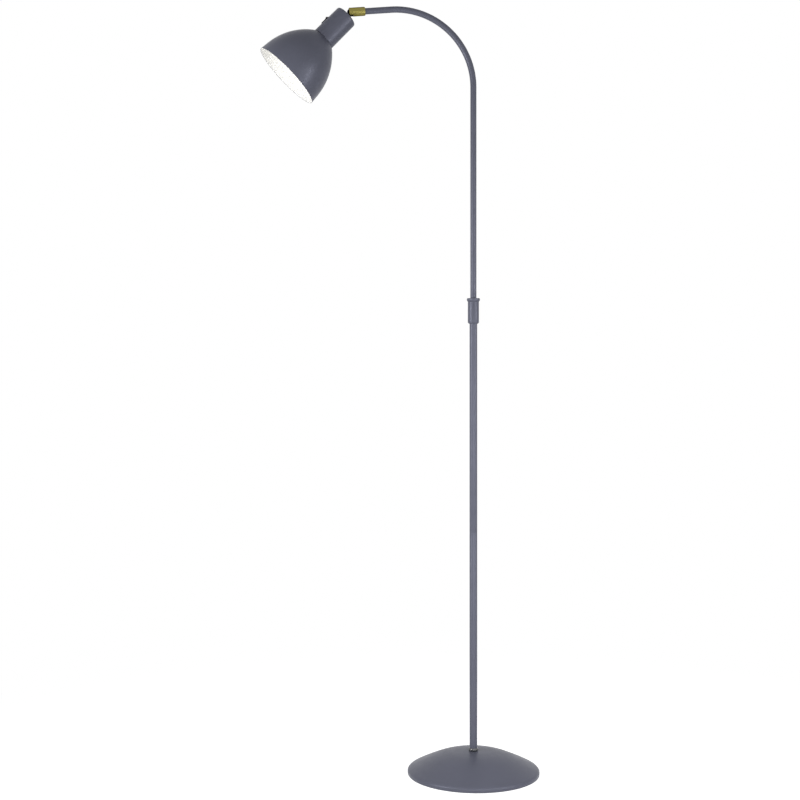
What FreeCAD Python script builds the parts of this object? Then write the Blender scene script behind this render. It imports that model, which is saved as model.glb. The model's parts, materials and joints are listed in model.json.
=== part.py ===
import FreeCAD, Part
import math
import os
from FreeCAD import Placement, Rotation, Vector

# Reading floor lamp with a swan-neck arm, in millimetres.
# The floor is z = 0, the pole stands on the Z axis and the arm bends over towards -X.
# The lamp is the same on both sides of the plane y = 0, apart from the cable's way in at +Y.

# Clearances
running_gap = 0.05          # radial gap of a part that turns or slides in another
face_gap = 0.1              # gap between two faces that turn or slide past each other
past = 1.0                  # how far a cutting solid runs past the faces that it cuts

# Base: a domed cover over a cast weight
base_radius = 128.5
dome_height = 44.0          # top of the dome above the floor
crown_edge_radius = 40.0    # the nearly flat crown ends here
crown_edge_drop = 1.83      # and lies this far under the top
flank_radius = 80.0         # the flank starts here
flank_drop = 12.36
shoulder_width = 4.5        # rounded shoulder between the flank and the rim
shoulder_drop = 4.17
rim_height = 6.9            # crease at the top of the short upright rim
rim_clearance = 0.8         # lower edge of the rim above the floor
cover_wall = 1.2
pad_thickness = 3.0
pad_edge_gap = 2.3          # pad inside the rim
weight_edge_gap = 17.3      # weight inside the rim
weight_thickness = 12.0
weight_roof_gap = 1.0       # least gap between the cover and the weight's disc
weight_step_radius = 70.0
weight_step_height = 6.0
boss_wall = 5.0             # boss round the nut's recess, which carries the cover's crown
cable_channel_width = 9.0
cable_channel_height = 8.0
grommet_bore = 3.2
grommet_wall = 1.3
grommet_rim_gap = 1.0       # rim left under the grommet
grommet_length = 13.0
grommet_proud = 1.5         # how far it stands out of the rim
grommet_flange_width = 0.9
grommet_flange_thickness = 2.0
grommet_roof_gap = 0.2
pad_notch_gap = 2.0         # room for the grommet in the pad

# Threaded pieces that clamp the base and join the pole
stud_radius = 5.0
stud_bore = 3.5
base_nut_flats = 17.0
base_nut_height = 5.0
base_washer_radius = 11.0
base_washer_thickness = 1.2
lock_washer_radius = 8.0
lock_washer_thickness = 1.6
lock_washer_slit = 1.5
nipple_tail = 1.5           # nipple below its nut
recess_gap = 2.0            # round and above the nut's stack in the weight
insert_length = 18.0
joiner_reach = 14.0         # stud's length in each socket

# Pole
foot_ring_width = 2.0
foot_ring_height = 6.0
foot_ring_foot = 0.5        # width of its flat foot and top
foot_ring_land = 0.5        # flat on the crown beyond the ring
pole_wall = 0.8
pole_seam_height = 470.0
pole_top = 903.0

# Collar at the pole's top
collar_grip = 24.0          # pole inside the collar
collar_wall = 1.65
collar_chamfer = 2.0
collar_web = 1.4            # inner web above the pole's end
nut_overhang = 1.85         # flange of the turning collar nut beyond the collar
nut_flange = 3.9
nut_cone = 3.1
nut_edge_round = 0.5
nut_thread_wall = 0.7
nut_thread_length = 10.4
nut_cup_gap = 0.25          # between the collet and the mouth of the nut's inner cone
nut_cover = 2.8             # nut's shoulder above the collet's tip
arm_passage_gap = 0.3       # loose hole that the arm tube goes through
collet_wall = 2.2
collet_length = 13.0
collet_cone_length = 6.0
collet_tip_wall = 0.5
collet_slit = 1.0
bush_wall = 0.65
bush_length = 25.0
bush_flange = 1.2

# Arm: one bent tube
arm_radius = 6.0
arm_wall = 1.0
total_height = 1495.0
bend_radius = 148.0
arm_droop = 5.3             # degrees below the horizontal at the arm's end
arm_end_length = 50.7       # straight run after the bend
guide_length = 30.0
guide_stop_gap = 1.0        # between the upper clip and the bush at full height
clip_thickness = 0.9
clip_depth = 0.4            # groove in the tube
clip_edge_gap = 0.2         # between the clip and the pole
clip_opening = 60.0         # degrees
arm_tail = 3.0              # tube below the lower clip
arm_nipple_length = 14.0

# Knuckle: a slotted barrel with a ball in its mouth
barrel_wall = 1.35          # round the ball
barrel_length = 31.2        # from the arm's end to the mouth
mouth_reach = 3.1           # mouth beyond the ball's centre
mouth_round = 0.4
end_cap_flange = 3.0
end_cap_chamfer_length = 2.0
end_cap_chamfer_depth = 0.8
end_cap_thread_step = 0.55  # thread's radius beyond the ball's bore
end_cap_wall = 1.0
ball_radius = 7.0
neck_radius = 4.0
wire_bore = 2.6
slot_gap = 0.6              # each side of the neck
slot_overrun = 2.0          # closed end of the slot behind the neck at its last position
spigot_radius = 4.0
swivel_nut_gap = 0.15       # round the swivel nut's corners
swivel_washer_thickness = 0.8
swivel_nut_height = 3.4
spigot_tail = 0.6
spigot_room = 1.1           # between the spigot's end and the thrust washer
thrust_washer_thickness = 1.0
disc_spring_count = 4
disc_spring_thickness = 0.5
disc_spring_cone = 0.45
disc_spring_gap = 0.05
disc_spring_bore_gap = 0.6
seat_neck_gap = 0.3         # between the slot and the front edge of the ball's seat

# Head, along its own axis from the ball's centre
head_droop = 45.5           # degrees below the horizontal
stem_shoulder_gap = 1.0     # between the barrel and the stem's shoulder
stem_shoulder_thickness = 1.3
stem_shoulder_radius = 7.0
stem_washer_radius = 9.0
stem_washer_thickness = 1.2
stem_nut_flats = 14.0
stem_nut_height = 4.0
stem_tail = 8.0             # threaded end below the nut
cup_length = 65.4
cup_room = 2.2              # between the lampholder's thread and the cup's mouth
cup_taper = 0.6             # mouth's radius beyond the top's
cup_round = 4.0
cup_wall = 1.2
shade_height = 101.2
shade_neck_step = 0.45      # neck's radius beyond the cup's mouth
shade_mouth_radius = 69.6
shade_lip = 17.0            # straight flare at the mouth
shade_lip_slope = 84.9      # degrees below the horizontal
shade_wall = 0.8
shade_ring_inset = 1.2      # inside the shade's neck
shade_ring_height = 5.0

# Lampholder inside the cup
entry_radius = 8.0
entry_height = 6.0
holder_upper_wall = 3.6     # round the screw shell
holder_upper_length = 22.0
holder_cap_slope_height = 6.0
holder_cap_wall = 2.0
holder_skirt_wall = 6.0     # round the screw shell, out to the thread
holder_thin_wall = 1.3      # beside the switch
holder_rise = 34.2          # body's top above the cup's mouth
holder_tail = 4.0           # thread below the shade ring
holder_flange_thickness = 2.0
holder_flange_gap = 0.7     # inside the cup
holder_floor = 6.0
holder_wiring_depth = 6.0
holder_wiring_radius = 12.0
socket_radius = 13.4
socket_wall = 0.5
socket_length = 25.0
contact_radius = 4.0
contact_thickness = 0.6
rivet_radius = 1.5

# Bulb
bulb_radius = 30.0
bulb_length = 108.0         # contact button to tip
bulb_neck_length = 3.0      # glass inside the screw cap
bulb_glass_wall = 0.8
bulb_cap_gap = 0.2          # inside the screw shell
bulb_cap_wall = 0.3
bulb_cap_length = 24.5
insulator_radius = 6.0      # at the contact button
insulator_height = 3.5
insulator_plug = 1.0        # insulator inside the screw cap
contact_button_radius = 4.5
contact_button_height = 1.0
socket_seat_gap = 0.1       # bulb's contact above the centre contact

# Rocker switch in the cup's side
rocker_top_depth = 29.6     # rocker's end below the cup's top
rocker_length = 15.0
rocker_width = 8.0
rocker_thickness = 2.5
rocker_angle = 10.0         # each half of the rocker's top, and its tilt each way
rocker_gap = 0.2
trunnion_radius = 1.0
trunnion_length = 0.7
hub_wall = 0.8
pivot_depth = 2.7           # trunnions below the cup's surface
switch_wall = 1.0
switch_proud = 1.0          # frame above the cup's surface
switch_flange = 2.4         # body wider than its frame
switch_floor = 1.0


# Places worked out from the sizes above
arm_bore = arm_radius - arm_wall
pole_bore = arm_radius + running_gap + bush_wall
pole_radius = pole_bore + pole_wall
foot_ring_radius = pole_radius + foot_ring_width
collar_bottom = pole_top - collar_grip
web_bottom = pole_top + bush_flange
web_top = web_bottom + collar_web
collet_radius = arm_radius + running_gap + collet_wall
collet_top = web_top + collet_length
nut_cup_radius = collet_radius + nut_cup_gap
nut_thread_radius = nut_cup_radius + nut_thread_wall
collar_radius = nut_thread_radius + running_gap + collar_wall
nut_radius = collar_radius + nut_overhang
nut_bottom = collet_top + nut_cover
collar_top = nut_bottom + nut_cone + nut_flange
bush_bottom = pole_top - bush_length
guide_top = bush_bottom - guide_stop_gap - clip_thickness - face_gap
guide_bottom = guide_top - guide_length
arm_bottom = guide_bottom - face_gap - clip_thickness - arm_tail
bend_height = total_height - arm_radius - bend_radius
droop = math.radians(arm_droop)
arm_direction = Vector(-math.cos(droop), 0, -math.sin(droop))
bend_centre = Vector(-bend_radius, 0, bend_height)
bend_end = bend_centre + Vector(-math.sin(droop), 0, math.cos(droop)) * bend_radius
arm_end = bend_end + arm_direction * arm_end_length
barrel_back = mouth_reach - barrel_length
ball_cup = ball_radius + running_gap
barrel_radius = ball_cup + barrel_wall
ball_centre = arm_end - arm_direction * barrel_back
knuckle_place = Placement(ball_centre, Rotation(Vector(0, 1, 0), -(90 + arm_droop)))
head_place = Placement(ball_centre, Rotation(Vector(0, 1, 0), 90 - head_droop))
stem_shoulder = barrel_radius + stem_shoulder_gap
cup_top = -(stem_shoulder + stem_shoulder_thickness)
cup_bottom = cup_top - cup_length
cavity_radius = socket_radius + socket_wall
holder_thread_radius = cavity_radius + holder_skirt_wall
holder_upper_radius = cavity_radius + holder_upper_wall
cup_mouth_radius = holder_thread_radius + cup_room + cup_wall
cup_top_radius = cup_mouth_radius - cup_taper
shade_neck_radius = cup_mouth_radius + shade_neck_step
shade_mouth = cup_bottom - shade_height


def rod(radius, bottom, top):
    return Part.makeCylinder(radius, top - bottom, Vector(0, 0, bottom))


def ring(outer, inner, bottom, top):
    return rod(outer, bottom, top).cut(rod(inner, bottom - past, top + past))


def block(low, high):
    size = Vector(*high) - Vector(*low)
    return Part.makeBox(size.x, size.y, size.z, Vector(*low))


def cross_rod(radius, x, z, half_length):
    return Part.makeCylinder(radius, 2 * half_length, Vector(x, -half_length, z), Vector(0, 1, 0))


def hex_nut(across_flats, hole, bottom, height):
    corner = across_flats / math.sqrt(3)
    corners = []
    for index in range(7):
        turn = math.radians(60 * index)
        corners.append(Vector(corner * math.cos(turn), corner * math.sin(turn), bottom))
    prism = Part.Face(Part.makePolygon(corners)).extrude(Vector(0, 0, height))
    return prism.cut(rod(hole, bottom - past, bottom + height + past))


def outline_face(steps):
    # A step is (r, z) for a straight line, or ((r, z), (r, z)) for an arc through one point to another.
    edges = []
    start = Vector(steps[0][0], 0, steps[0][1])
    here = start
    for step in steps[1:]:
        is_arc = isinstance(step[0], tuple)
        end = step[1] if is_arc else step
        end = Vector(end[0], 0, end[1])
        if is_arc:
            middle = Vector(step[0][0], 0, step[0][1])
            edges.append(Part.Arc(here, middle, end).toShape())
        else:
            edges.append(Part.LineSegment(here, end).toShape())
        here = end
    edges.append(Part.LineSegment(here, start).toShape())
    return Part.Face(Part.Wire(edges))


def turned(steps):
    solid = outline_face(steps).revolve(Vector(0, 0, 0), Vector(0, 0, 1), 360)
    if solid.Volume < 0:
        solid.reverse()
    return solid


def smooth_arcs(points, first_angle, inset):
    # Arcs through points that go outwards and down, each leaving the last one smoothly.
    # Angles are below the horizontal, and the whole line is moved inwards by the inset.
    def moved(point, angle):
        return (point[0] - inset * math.sin(angle), point[1] - inset * math.cos(angle))

    angle = math.radians(first_angle)
    steps = [moved(points[0], angle)]
    for first, last in zip(points, points[1:]):
        run = last[0] - first[0]
        fall = first[1] - last[1]
        chord = math.atan2(fall, run)
        end_angle = 2 * chord - angle
        rise = math.hypot(run, fall) / 2 * math.tan((end_angle - angle) / 4)
        middle_r = (first[0] + last[0]) / 2 + rise * math.sin(chord)
        middle_z = (first[1] + last[1]) / 2 + rise * math.cos(chord)
        steps.append((moved((middle_r, middle_z), chord), moved(last, end_angle)))
        angle = end_angle
    return steps


def dome_steps(inset):
    crown_flat = foot_ring_radius + foot_ring_land
    points = [
        (crown_flat, dome_height),
        (crown_edge_radius, dome_height - crown_edge_drop),
        (flank_radius, dome_height - flank_drop),
        (base_radius - shoulder_width, rim_height + shoulder_drop),
        (base_radius, rim_height),
    ]
    return smooth_arcs(points, 0, inset)


def under_dome(inset, bottom):
    # Everything inside the dome's outer skin moved inwards by the inset.
    steps = [(0, bottom), (0, dome_height - inset)] + dome_steps(inset)
    return turned(steps + [(base_radius - inset, rim_height - inset), (base_radius - inset, bottom)])


# ---- Base

recess_radius = base_washer_radius + recess_gap
boss_radius = recess_radius + boss_wall
nut_stack = base_washer_thickness + lock_washer_thickness + base_nut_height + nipple_tail
recess_top = pad_thickness + recess_gap + nut_stack
grommet_radius = grommet_bore + grommet_wall
grommet_flange_radius = grommet_radius + grommet_flange_width
grommet_height = rim_clearance + grommet_rim_gap + grommet_radius
grommet_inner_end = base_radius + grommet_proud - grommet_length


def base_cover():
    outer = dome_steps(0)
    skin = [(0, rim_clearance), (0, dome_height)] + outer + [(base_radius, rim_clearance)]
    cover = turned(skin).cut(under_dome(cover_wall, rim_clearance - past))
    cover = cover.cut(rod(stud_radius, 0, dome_height + past))
    return cover.cut(cable_way(grommet_radius))


def cable_way(radius):
    start = Vector(0, grommet_inner_end - past, grommet_height)
    return Part.makeCylinder(radius, grommet_length + 2 * past, start, Vector(0, 1, 0))


def foot_pad():
    pad = rod(base_radius - cover_wall - pad_edge_gap, 0, pad_thickness)
    half = grommet_flange_radius + pad_notch_gap
    notch_start = grommet_inner_end - pad_notch_gap
    return pad.cut(block((-half, notch_start, -past), (half, base_radius, pad_thickness + past)))


def base_weight():
    weight_radius = base_radius - cover_wall - weight_edge_gap
    disc_top = pad_thickness + weight_thickness
    weight = rod(weight_radius, pad_thickness, disc_top)
    weight = weight.fuse(rod(weight_step_radius, disc_top, disc_top + weight_step_height))
    weight = weight.common(under_dome(cover_wall + weight_roof_gap, 0))
    boss = rod(boss_radius, pad_thickness, dome_height).common(under_dome(cover_wall, 0))
    weight = weight.fuse(boss).removeSplitter()
    weight = weight.cut(rod(recess_radius, 0, recess_top))
    weight = weight.cut(rod(stud_radius, 0, dome_height))
    half = cable_channel_width / 2
    channel_top = pad_thickness + cable_channel_height
    return weight.cut(block((-half, 0, 0), (half, base_radius, channel_top)))


def base_nipple():
    bottom = recess_top - nut_stack
    return ring(stud_radius, stud_bore, bottom, dome_height + joiner_reach)


def base_washer():
    return ring(base_washer_radius, stud_radius, recess_top - base_washer_thickness, recess_top)


def lock_washer():
    top = recess_top - base_washer_thickness
    washer = ring(lock_washer_radius, stud_radius, top - lock_washer_thickness, top)
    half = lock_washer_slit / 2
    return washer.cut(block((0, -half, 0), (lock_washer_radius + past, half, dome_height)))


def base_nut():
    bottom = recess_top - nut_stack + nipple_tail
    return hex_nut(base_nut_flats, stud_radius, bottom, base_nut_height)


def cable_grommet():
    start = Vector(0, grommet_inner_end, grommet_height)
    along = Vector(0, 1, 0)
    grommet = Part.makeCylinder(grommet_radius, grommet_length, start, along)
    flange = Part.makeCylinder(grommet_flange_radius, grommet_flange_thickness, start, along)
    flange = flange.common(under_dome(cover_wall + grommet_roof_gap, 0))
    return grommet.fuse(flange).removeSplitter().cut(cable_way(grommet_bore))


# ---- Pole

seam_low = pole_seam_height - insert_length
seam_high = pole_seam_height + insert_length


def foot_ring():
    # A bead with a flat foot: one arc bulges out between its foot and its top.
    top = dome_height + foot_ring_height
    middle = dome_height + foot_ring_height / 2
    return turned([
        (pole_radius, dome_height),
        (pole_radius + foot_ring_foot, dome_height),
        ((foot_ring_radius, middle), (pole_radius + foot_ring_foot, top)),
        (pole_radius, top),
    ])


def pole_bottom_insert():
    return ring(pole_bore, stud_radius, dome_height, dome_height + insert_length)


def lower_pole_tube():
    return ring(pole_radius, pole_bore, dome_height, pole_seam_height)


def pole_sockets():
    lower = ring(pole_bore, stud_radius, seam_low, pole_seam_height)
    upper = ring(pole_bore, stud_radius, pole_seam_height, seam_high)
    return Part.makeCompound([lower, upper])


def pole_joiner():
    return ring(stud_radius, stud_bore, pole_seam_height - joiner_reach, pole_seam_height + joiner_reach)


def upper_pole_tube():
    return ring(pole_radius, pole_bore, pole_seam_height, pole_top)


def pole_top_bush():
    bush = ring(pole_bore, arm_radius + running_gap, bush_bottom, pole_top)
    flange = ring(pole_radius, arm_radius + running_gap, pole_top, pole_top + bush_flange)
    return bush.fuse(flange).removeSplitter()


# ---- Collar

passage_radius = arm_radius + arm_passage_gap


def collar_sleeve():
    outside = turned([
        (0, collar_bottom),
        (collar_radius - collar_chamfer, collar_bottom),
        (collar_radius, collar_bottom + collar_chamfer),
        (collar_radius, nut_bottom),
        (0, nut_bottom),
    ])
    sleeve = outside.cut(rod(pole_radius, collar_bottom - past, web_bottom))
    sleeve = sleeve.cut(rod(passage_radius, web_bottom - past, web_top + past))
    return sleeve.cut(rod(nut_thread_radius + running_gap, web_top, nut_bottom + past))


def collet():
    inner = arm_radius + running_gap
    body = turned([
        (inner, web_top),
        (collet_radius, web_top),
        (collet_radius, collet_top - collet_cone_length),
        (inner + collet_tip_wall, collet_top),
        (inner, collet_top),
    ])
    half = collet_slit / 2
    return body.cut(block((0, -half, web_top - past), (collet_radius + past, half, collet_top + past)))


def collar_nut():
    thread_bottom = nut_bottom - nut_thread_length
    cone_end = collet_top + face_gap
    spigot_top = nut_bottom + face_gap
    body = turned([
        (0, thread_bottom),
        (nut_thread_radius, thread_bottom),
        (nut_thread_radius, spigot_top),
        (collar_radius, spigot_top),
        (nut_radius, nut_bottom + nut_cone),
        (nut_radius, collar_top - nut_edge_round),
        (nut_radius - nut_edge_round, collar_top),
        (0, collar_top),
    ])
    taper = collet_wall - collet_tip_wall
    inner_cone = turned([
        (0, thread_bottom - past),
        (nut_cup_radius, thread_bottom - past),
        (nut_cup_radius, cone_end - collet_cone_length),
        (nut_cup_radius - taper, cone_end),
        (0, cone_end),
    ])
    return body.cut(inner_cone).cut(rod(passage_radius, thread_bottom, collar_top + past))


# ---- Arm

def guide_sleeve():
    return ring(pole_bore - running_gap, arm_radius + running_gap, guide_bottom, guide_top)


def clip_heights():
    lower = guide_bottom - face_gap - clip_thickness
    upper = guide_top + face_gap
    return [lower, upper]


def guide_clips():
    reach = 2 * arm_radius
    half = math.radians(clip_opening / 2)
    clips = []
    for bottom in clip_heights():
        clip = ring(pole_bore - clip_edge_gap, arm_radius - clip_depth, bottom, bottom + clip_thickness)
        left = Vector(reach * math.cos(half), reach * math.sin(half), bottom)
        right = Vector(reach * math.cos(half), -reach * math.sin(half), bottom)
        wedge = Part.makePolygon([Vector(0, 0, bottom), right, left, Vector(0, 0, bottom)])
        opening = Part.Face(wedge).extrude(Vector(0, 0, clip_thickness))
        clips.append(clip.cut(opening))
    return Part.makeCompound(clips)


def bent_rod(radius):
    section = Part.Face(Part.Wire(Part.makeCircle(radius, Vector(0, 0, bend_height))))
    bend = section.revolve(bend_centre, Vector(0, 1, 0), -(90 + arm_droop))
    upright = rod(radius, arm_bottom, bend_height)
    straight = Part.makeCylinder(radius, arm_end_length, bend_end, arm_direction)
    return upright.fuse([bend, straight]).removeSplitter()


def arm_tube():
    tube = bent_rod(arm_radius).cut(bent_rod(arm_bore))
    for bottom in clip_heights():
        groove = ring(arm_radius + past, arm_radius - clip_depth, bottom, bottom + clip_thickness)
        tube = tube.cut(groove)
    return tube


# ---- Knuckle, drawn with the ball at the origin and the mouth towards +Z

end_cap_thread_radius = ball_cup + end_cap_thread_step
nut_room = end_cap_thread_radius - end_cap_wall
swivel_nut_corner = nut_room - swivel_nut_gap
cap_front = barrel_back + end_cap_flange
washer_back = cap_front + face_gap
spigot_end = washer_back + swivel_washer_thickness + swivel_nut_height + spigot_tail
cap_thread_end = spigot_end + spigot_room
thrust_front = cap_thread_end + thrust_washer_thickness
slot_half_width = neck_radius + slot_gap
seat_front = -(slot_half_width + seat_neck_gap)


def arm_nipple():
    plug = ring(arm_bore, wire_bore, barrel_back - arm_nipple_length, barrel_back)
    spigot = ring(spigot_radius, wire_bore, barrel_back, spigot_end)
    return plug.fuse(spigot).removeSplitter()


def swivel_washer():
    return ring(swivel_nut_corner, spigot_radius, washer_back, washer_back + swivel_washer_thickness)


def swivel_nut():
    across_flats = swivel_nut_corner * math.sqrt(3)
    return hex_nut(across_flats, spigot_radius, washer_back + swivel_washer_thickness, swivel_nut_height)


def knuckle_end_cap():
    back = barrel_back + face_gap
    cap = turned([
        (0, back),
        (barrel_radius - end_cap_chamfer_depth, back),
        (barrel_radius, barrel_back + end_cap_chamfer_length),
        (barrel_radius, cap_front),
        (end_cap_thread_radius, cap_front),
        (end_cap_thread_radius, cap_thread_end),
        (0, cap_thread_end),
    ])
    cap = cap.cut(rod(spigot_radius + running_gap, barrel_back, cap_thread_end))
    return cap.cut(rod(nut_room, cap_front, cap_thread_end + past))


def knuckle_barrel():
    barrel = turned([
        (0, cap_front),
        (barrel_radius, cap_front),
        (barrel_radius, mouth_reach - mouth_round),
        (barrel_radius - mouth_round, mouth_reach),
        (0, mouth_reach),
    ])
    barrel = barrel.cut(rod(end_cap_thread_radius, cap_front - past, thrust_front))
    barrel = barrel.cut(rod(ball_cup, thrust_front - past, 0))
    barrel = barrel.cut(Part.makeSphere(ball_cup))
    start = Vector(0, 0, -slot_overrun)
    slot_end = Part.makeCylinder(slot_half_width, barrel_radius + past, start, Vector(-1, 0, 0))
    slot_run = block((-barrel_radius - past, -slot_half_width, -slot_overrun),
                     (0, slot_half_width, mouth_reach + past))
    return barrel.cut(slot_end).cut(slot_run)


def thrust_washer():
    return ring(end_cap_thread_radius, wire_bore, cap_thread_end, thrust_front)


disc_spring_height = disc_spring_thickness + disc_spring_cone
springs_end = thrust_front + disc_spring_count * (disc_spring_height + disc_spring_gap)


def disc_springs():
    inner = wire_bore + disc_spring_bore_gap
    outer = ball_cup - running_gap
    springs = []
    for index in range(disc_spring_count):
        bottom = thrust_front + index * (disc_spring_height + disc_spring_gap) + disc_spring_gap
        inner_lift = disc_spring_cone * (index % 2)
        outer_lift = disc_spring_cone - inner_lift
        springs.append(turned([
            (inner, bottom + inner_lift),
            (outer, bottom + outer_lift),
            (outer, bottom + outer_lift + disc_spring_thickness),
            (inner, bottom + inner_lift + disc_spring_thickness),
        ]))
    return Part.makeCompound(springs)


def ball_seat():
    seat = ring(ball_cup - running_gap, wire_bore, springs_end, seat_front)
    return seat.cut(Part.makeSphere(ball_cup))


# ---- Head, drawn with the ball at the origin and the shade's mouth towards -Z

cup_ceiling = cup_top - cup_wall
stem_washer_bottom = cup_ceiling - face_gap - stem_washer_thickness
stem_nut_bottom = stem_washer_bottom - stem_nut_height
stem_end = stem_nut_bottom - stem_tail
holder_cap_top = stem_nut_bottom - face_gap
holder_cap_bottom = cup_bottom + holder_rise
holder_bottom = cup_bottom - shade_wall - shade_ring_height - holder_tail
holder_step = holder_cap_bottom - holder_upper_length
socket_floor = holder_cap_bottom - holder_wiring_depth - holder_floor
socket_mouth = socket_floor - socket_length


def knuckle_ball():
    stem = rod(neck_radius, -stem_shoulder, 0)
    shoulder = rod(stem_shoulder_radius, cup_top, -stem_shoulder)
    thread = rod(stud_radius, stem_end, cup_top)
    ball = Part.makeSphere(ball_radius).fuse([stem, shoulder, thread]).removeSplitter()
    return ball.cut(rod(wire_bore, stem_end - past, ball_radius + past))


def stem_washer():
    top = stem_washer_bottom + stem_washer_thickness
    return ring(stem_washer_radius, stud_radius, stem_washer_bottom, top)


def stem_nut():
    return hex_nut(stem_nut_flats, stud_radius, stem_nut_bottom, stem_nut_height)


def cup_form(inset):
    # The cup's outer form, or its hollow when it is moved inwards by the wall.
    top_radius = cup_top_radius - inset
    corner = cup_round - inset
    corner_centre = top_radius - corner
    bend = corner * math.sqrt(0.5)
    top = cup_top - inset
    bottom = cup_bottom - (past if inset else 0)
    return turned([
        (0, bottom),
        (cup_mouth_radius - inset, bottom),
        (top_radius, top - corner),
        ((corner_centre + bend, top - corner + bend), (corner_centre, top)),
        (0, top),
    ])


rocker_middle = cup_top - rocker_top_depth - rocker_length / 2
rocker_half = rocker_length / 2
cup_side = (cup_top_radius + cup_mouth_radius) / 2
pivot_x = -(cup_side - pivot_depth)
frame_half_width = rocker_width / 2 + rocker_gap + switch_wall
frame_half_length = rocker_half + rocker_gap + switch_wall
switch_back = cavity_radius + holder_thin_wall + face_gap


def holder_cup():
    cup = cup_form(0).cut(cup_form(cup_wall))
    cup = cup.cut(rod(stud_radius + running_gap, cup_ceiling - past, cup_top + past))
    low = (-cup_side - past, -frame_half_width, rocker_middle - frame_half_length)
    high = (-switch_back, frame_half_width, rocker_middle + frame_half_length)
    return cup.cut(block(low, high))


def lampholder_cap():
    slope_top = holder_cap_top - entry_height
    slope_bottom = slope_top - holder_cap_slope_height
    outside = turned([
        (0, holder_cap_bottom),
        (holder_upper_radius, holder_cap_bottom),
        (holder_upper_radius, slope_bottom),
        (entry_radius, slope_top),
        (entry_radius, holder_cap_top),
        (0, holder_cap_top),
    ])
    inside = turned([
        (0, holder_cap_bottom - past),
        (holder_upper_radius - holder_cap_wall, holder_cap_bottom - past),
        (holder_upper_radius - holder_cap_wall, slope_bottom),
        (entry_radius, slope_top - holder_cap_wall),
        (0, slope_top - holder_cap_wall),
    ])
    cap = outside.cut(inside).cut(rod(stud_radius + running_gap, holder_cap_bottom, holder_cap_top + past))
    return cap.cut(switch_room())


def lampholder_body():
    upper = rod(holder_upper_radius, holder_step, holder_cap_bottom)
    lower = rod(holder_thread_radius, holder_bottom, holder_step)
    flange_radius = cup_mouth_radius - cup_wall - holder_flange_gap
    flange = rod(flange_radius, cup_bottom, cup_bottom + holder_flange_thickness)
    body = upper.fuse([lower, flange]).removeSplitter()
    body = body.cut(rod(holder_wiring_radius, socket_floor + holder_floor, holder_cap_bottom + past))
    body = body.cut(rod(cavity_radius, holder_bottom - past, socket_floor))
    body = body.cut(rod(rivet_radius, socket_floor - past, holder_cap_bottom))
    return body.cut(switch_room())


def switch_room():
    # Room for the switch body beside the lampholder.
    reach = frame_half_length + switch_flange + face_gap
    inner = face_gap - switch_back
    width = cup_side + past
    return block((-width, -width, rocker_middle - reach), (inner, width, rocker_middle + reach))


def socket_shell():
    return ring(cavity_radius, socket_radius, socket_mouth, socket_floor)


def centre_contact():
    plate = rod(contact_radius, socket_floor - contact_thickness, socket_floor)
    rivet = rod(rivet_radius, socket_floor - contact_thickness, socket_floor + holder_floor)
    return plate.fuse(rivet).removeSplitter()


def shade_steps(inset):
    # From the neck outwards and down: one long arc, then the straight flare of the lip.
    slope = math.radians(shade_lip_slope)
    lip_run = shade_lip / math.tan(slope)
    arc_end = (shade_mouth_radius - lip_run, shade_mouth + shade_lip)
    neck = (shade_neck_radius, cup_bottom)
    chord = math.atan2(neck[1] - arc_end[1], arc_end[0] - neck[0])
    neck_angle = math.degrees(2 * chord - slope)
    steps = smooth_arcs([neck, arc_end], neck_angle, inset)
    mouth = (shade_mouth_radius - inset / math.sin(slope), shade_mouth)
    return steps + [mouth]


def shade():
    outside = [(0, shade_mouth), (0, cup_bottom)] + shade_steps(0)
    hollow_steps = shade_steps(shade_wall)
    lip = hollow_steps[-1]
    below = shade_mouth - past
    hollow = turned([(0, below), (0, hollow_steps[0][1])] + hollow_steps + [(lip[0], below)])
    floor = cup_bottom - shade_wall
    land = rod(holder_thread_radius + running_gap, floor - past, cup_bottom + past)
    above_floor = block((-shade_mouth_radius, -shade_mouth_radius, floor),
                        (shade_mouth_radius, shade_mouth_radius, cup_bottom))
    return turned(outside).cut(hollow.cut(above_floor)).cut(land)


def shade_ring():
    top = cup_bottom - shade_wall
    return ring(shade_neck_radius - shade_ring_inset, holder_thread_radius, top - shade_ring_height, top)


# ---- Rocker switch

def switch_body():
    frame_low = rocker_middle - frame_half_length
    frame_high = rocker_middle + frame_half_length
    outer_x = -(cup_side + switch_proud)
    flange_half_width = frame_half_width + switch_flange
    wall_x = -math.sqrt((cup_top_radius - cup_wall) ** 2 - flange_half_width ** 2) + face_gap
    back_x = -switch_back
    frame = block((outer_x, -frame_half_width, frame_low), (back_x, frame_half_width, frame_high))
    body = block((wall_x, -flange_half_width, frame_low - switch_flange),
                 (back_x, flange_half_width, frame_high + switch_flange))
    body = frame.fuse(body).removeSplitter()
    half_width = rocker_width / 2 + rocker_gap
    half_length = rocker_half + rocker_gap
    hollow = block((outer_x - past, -half_width, rocker_middle - half_length),
                   (back_x - switch_floor, half_width, rocker_middle + half_length))
    hole_radius = trunnion_radius + running_gap
    pivot_hole = cross_rod(hole_radius, pivot_x, rocker_middle, rocker_width / 2 + trunnion_length)
    return body.cut(hollow).cut(pivot_hole)


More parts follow.
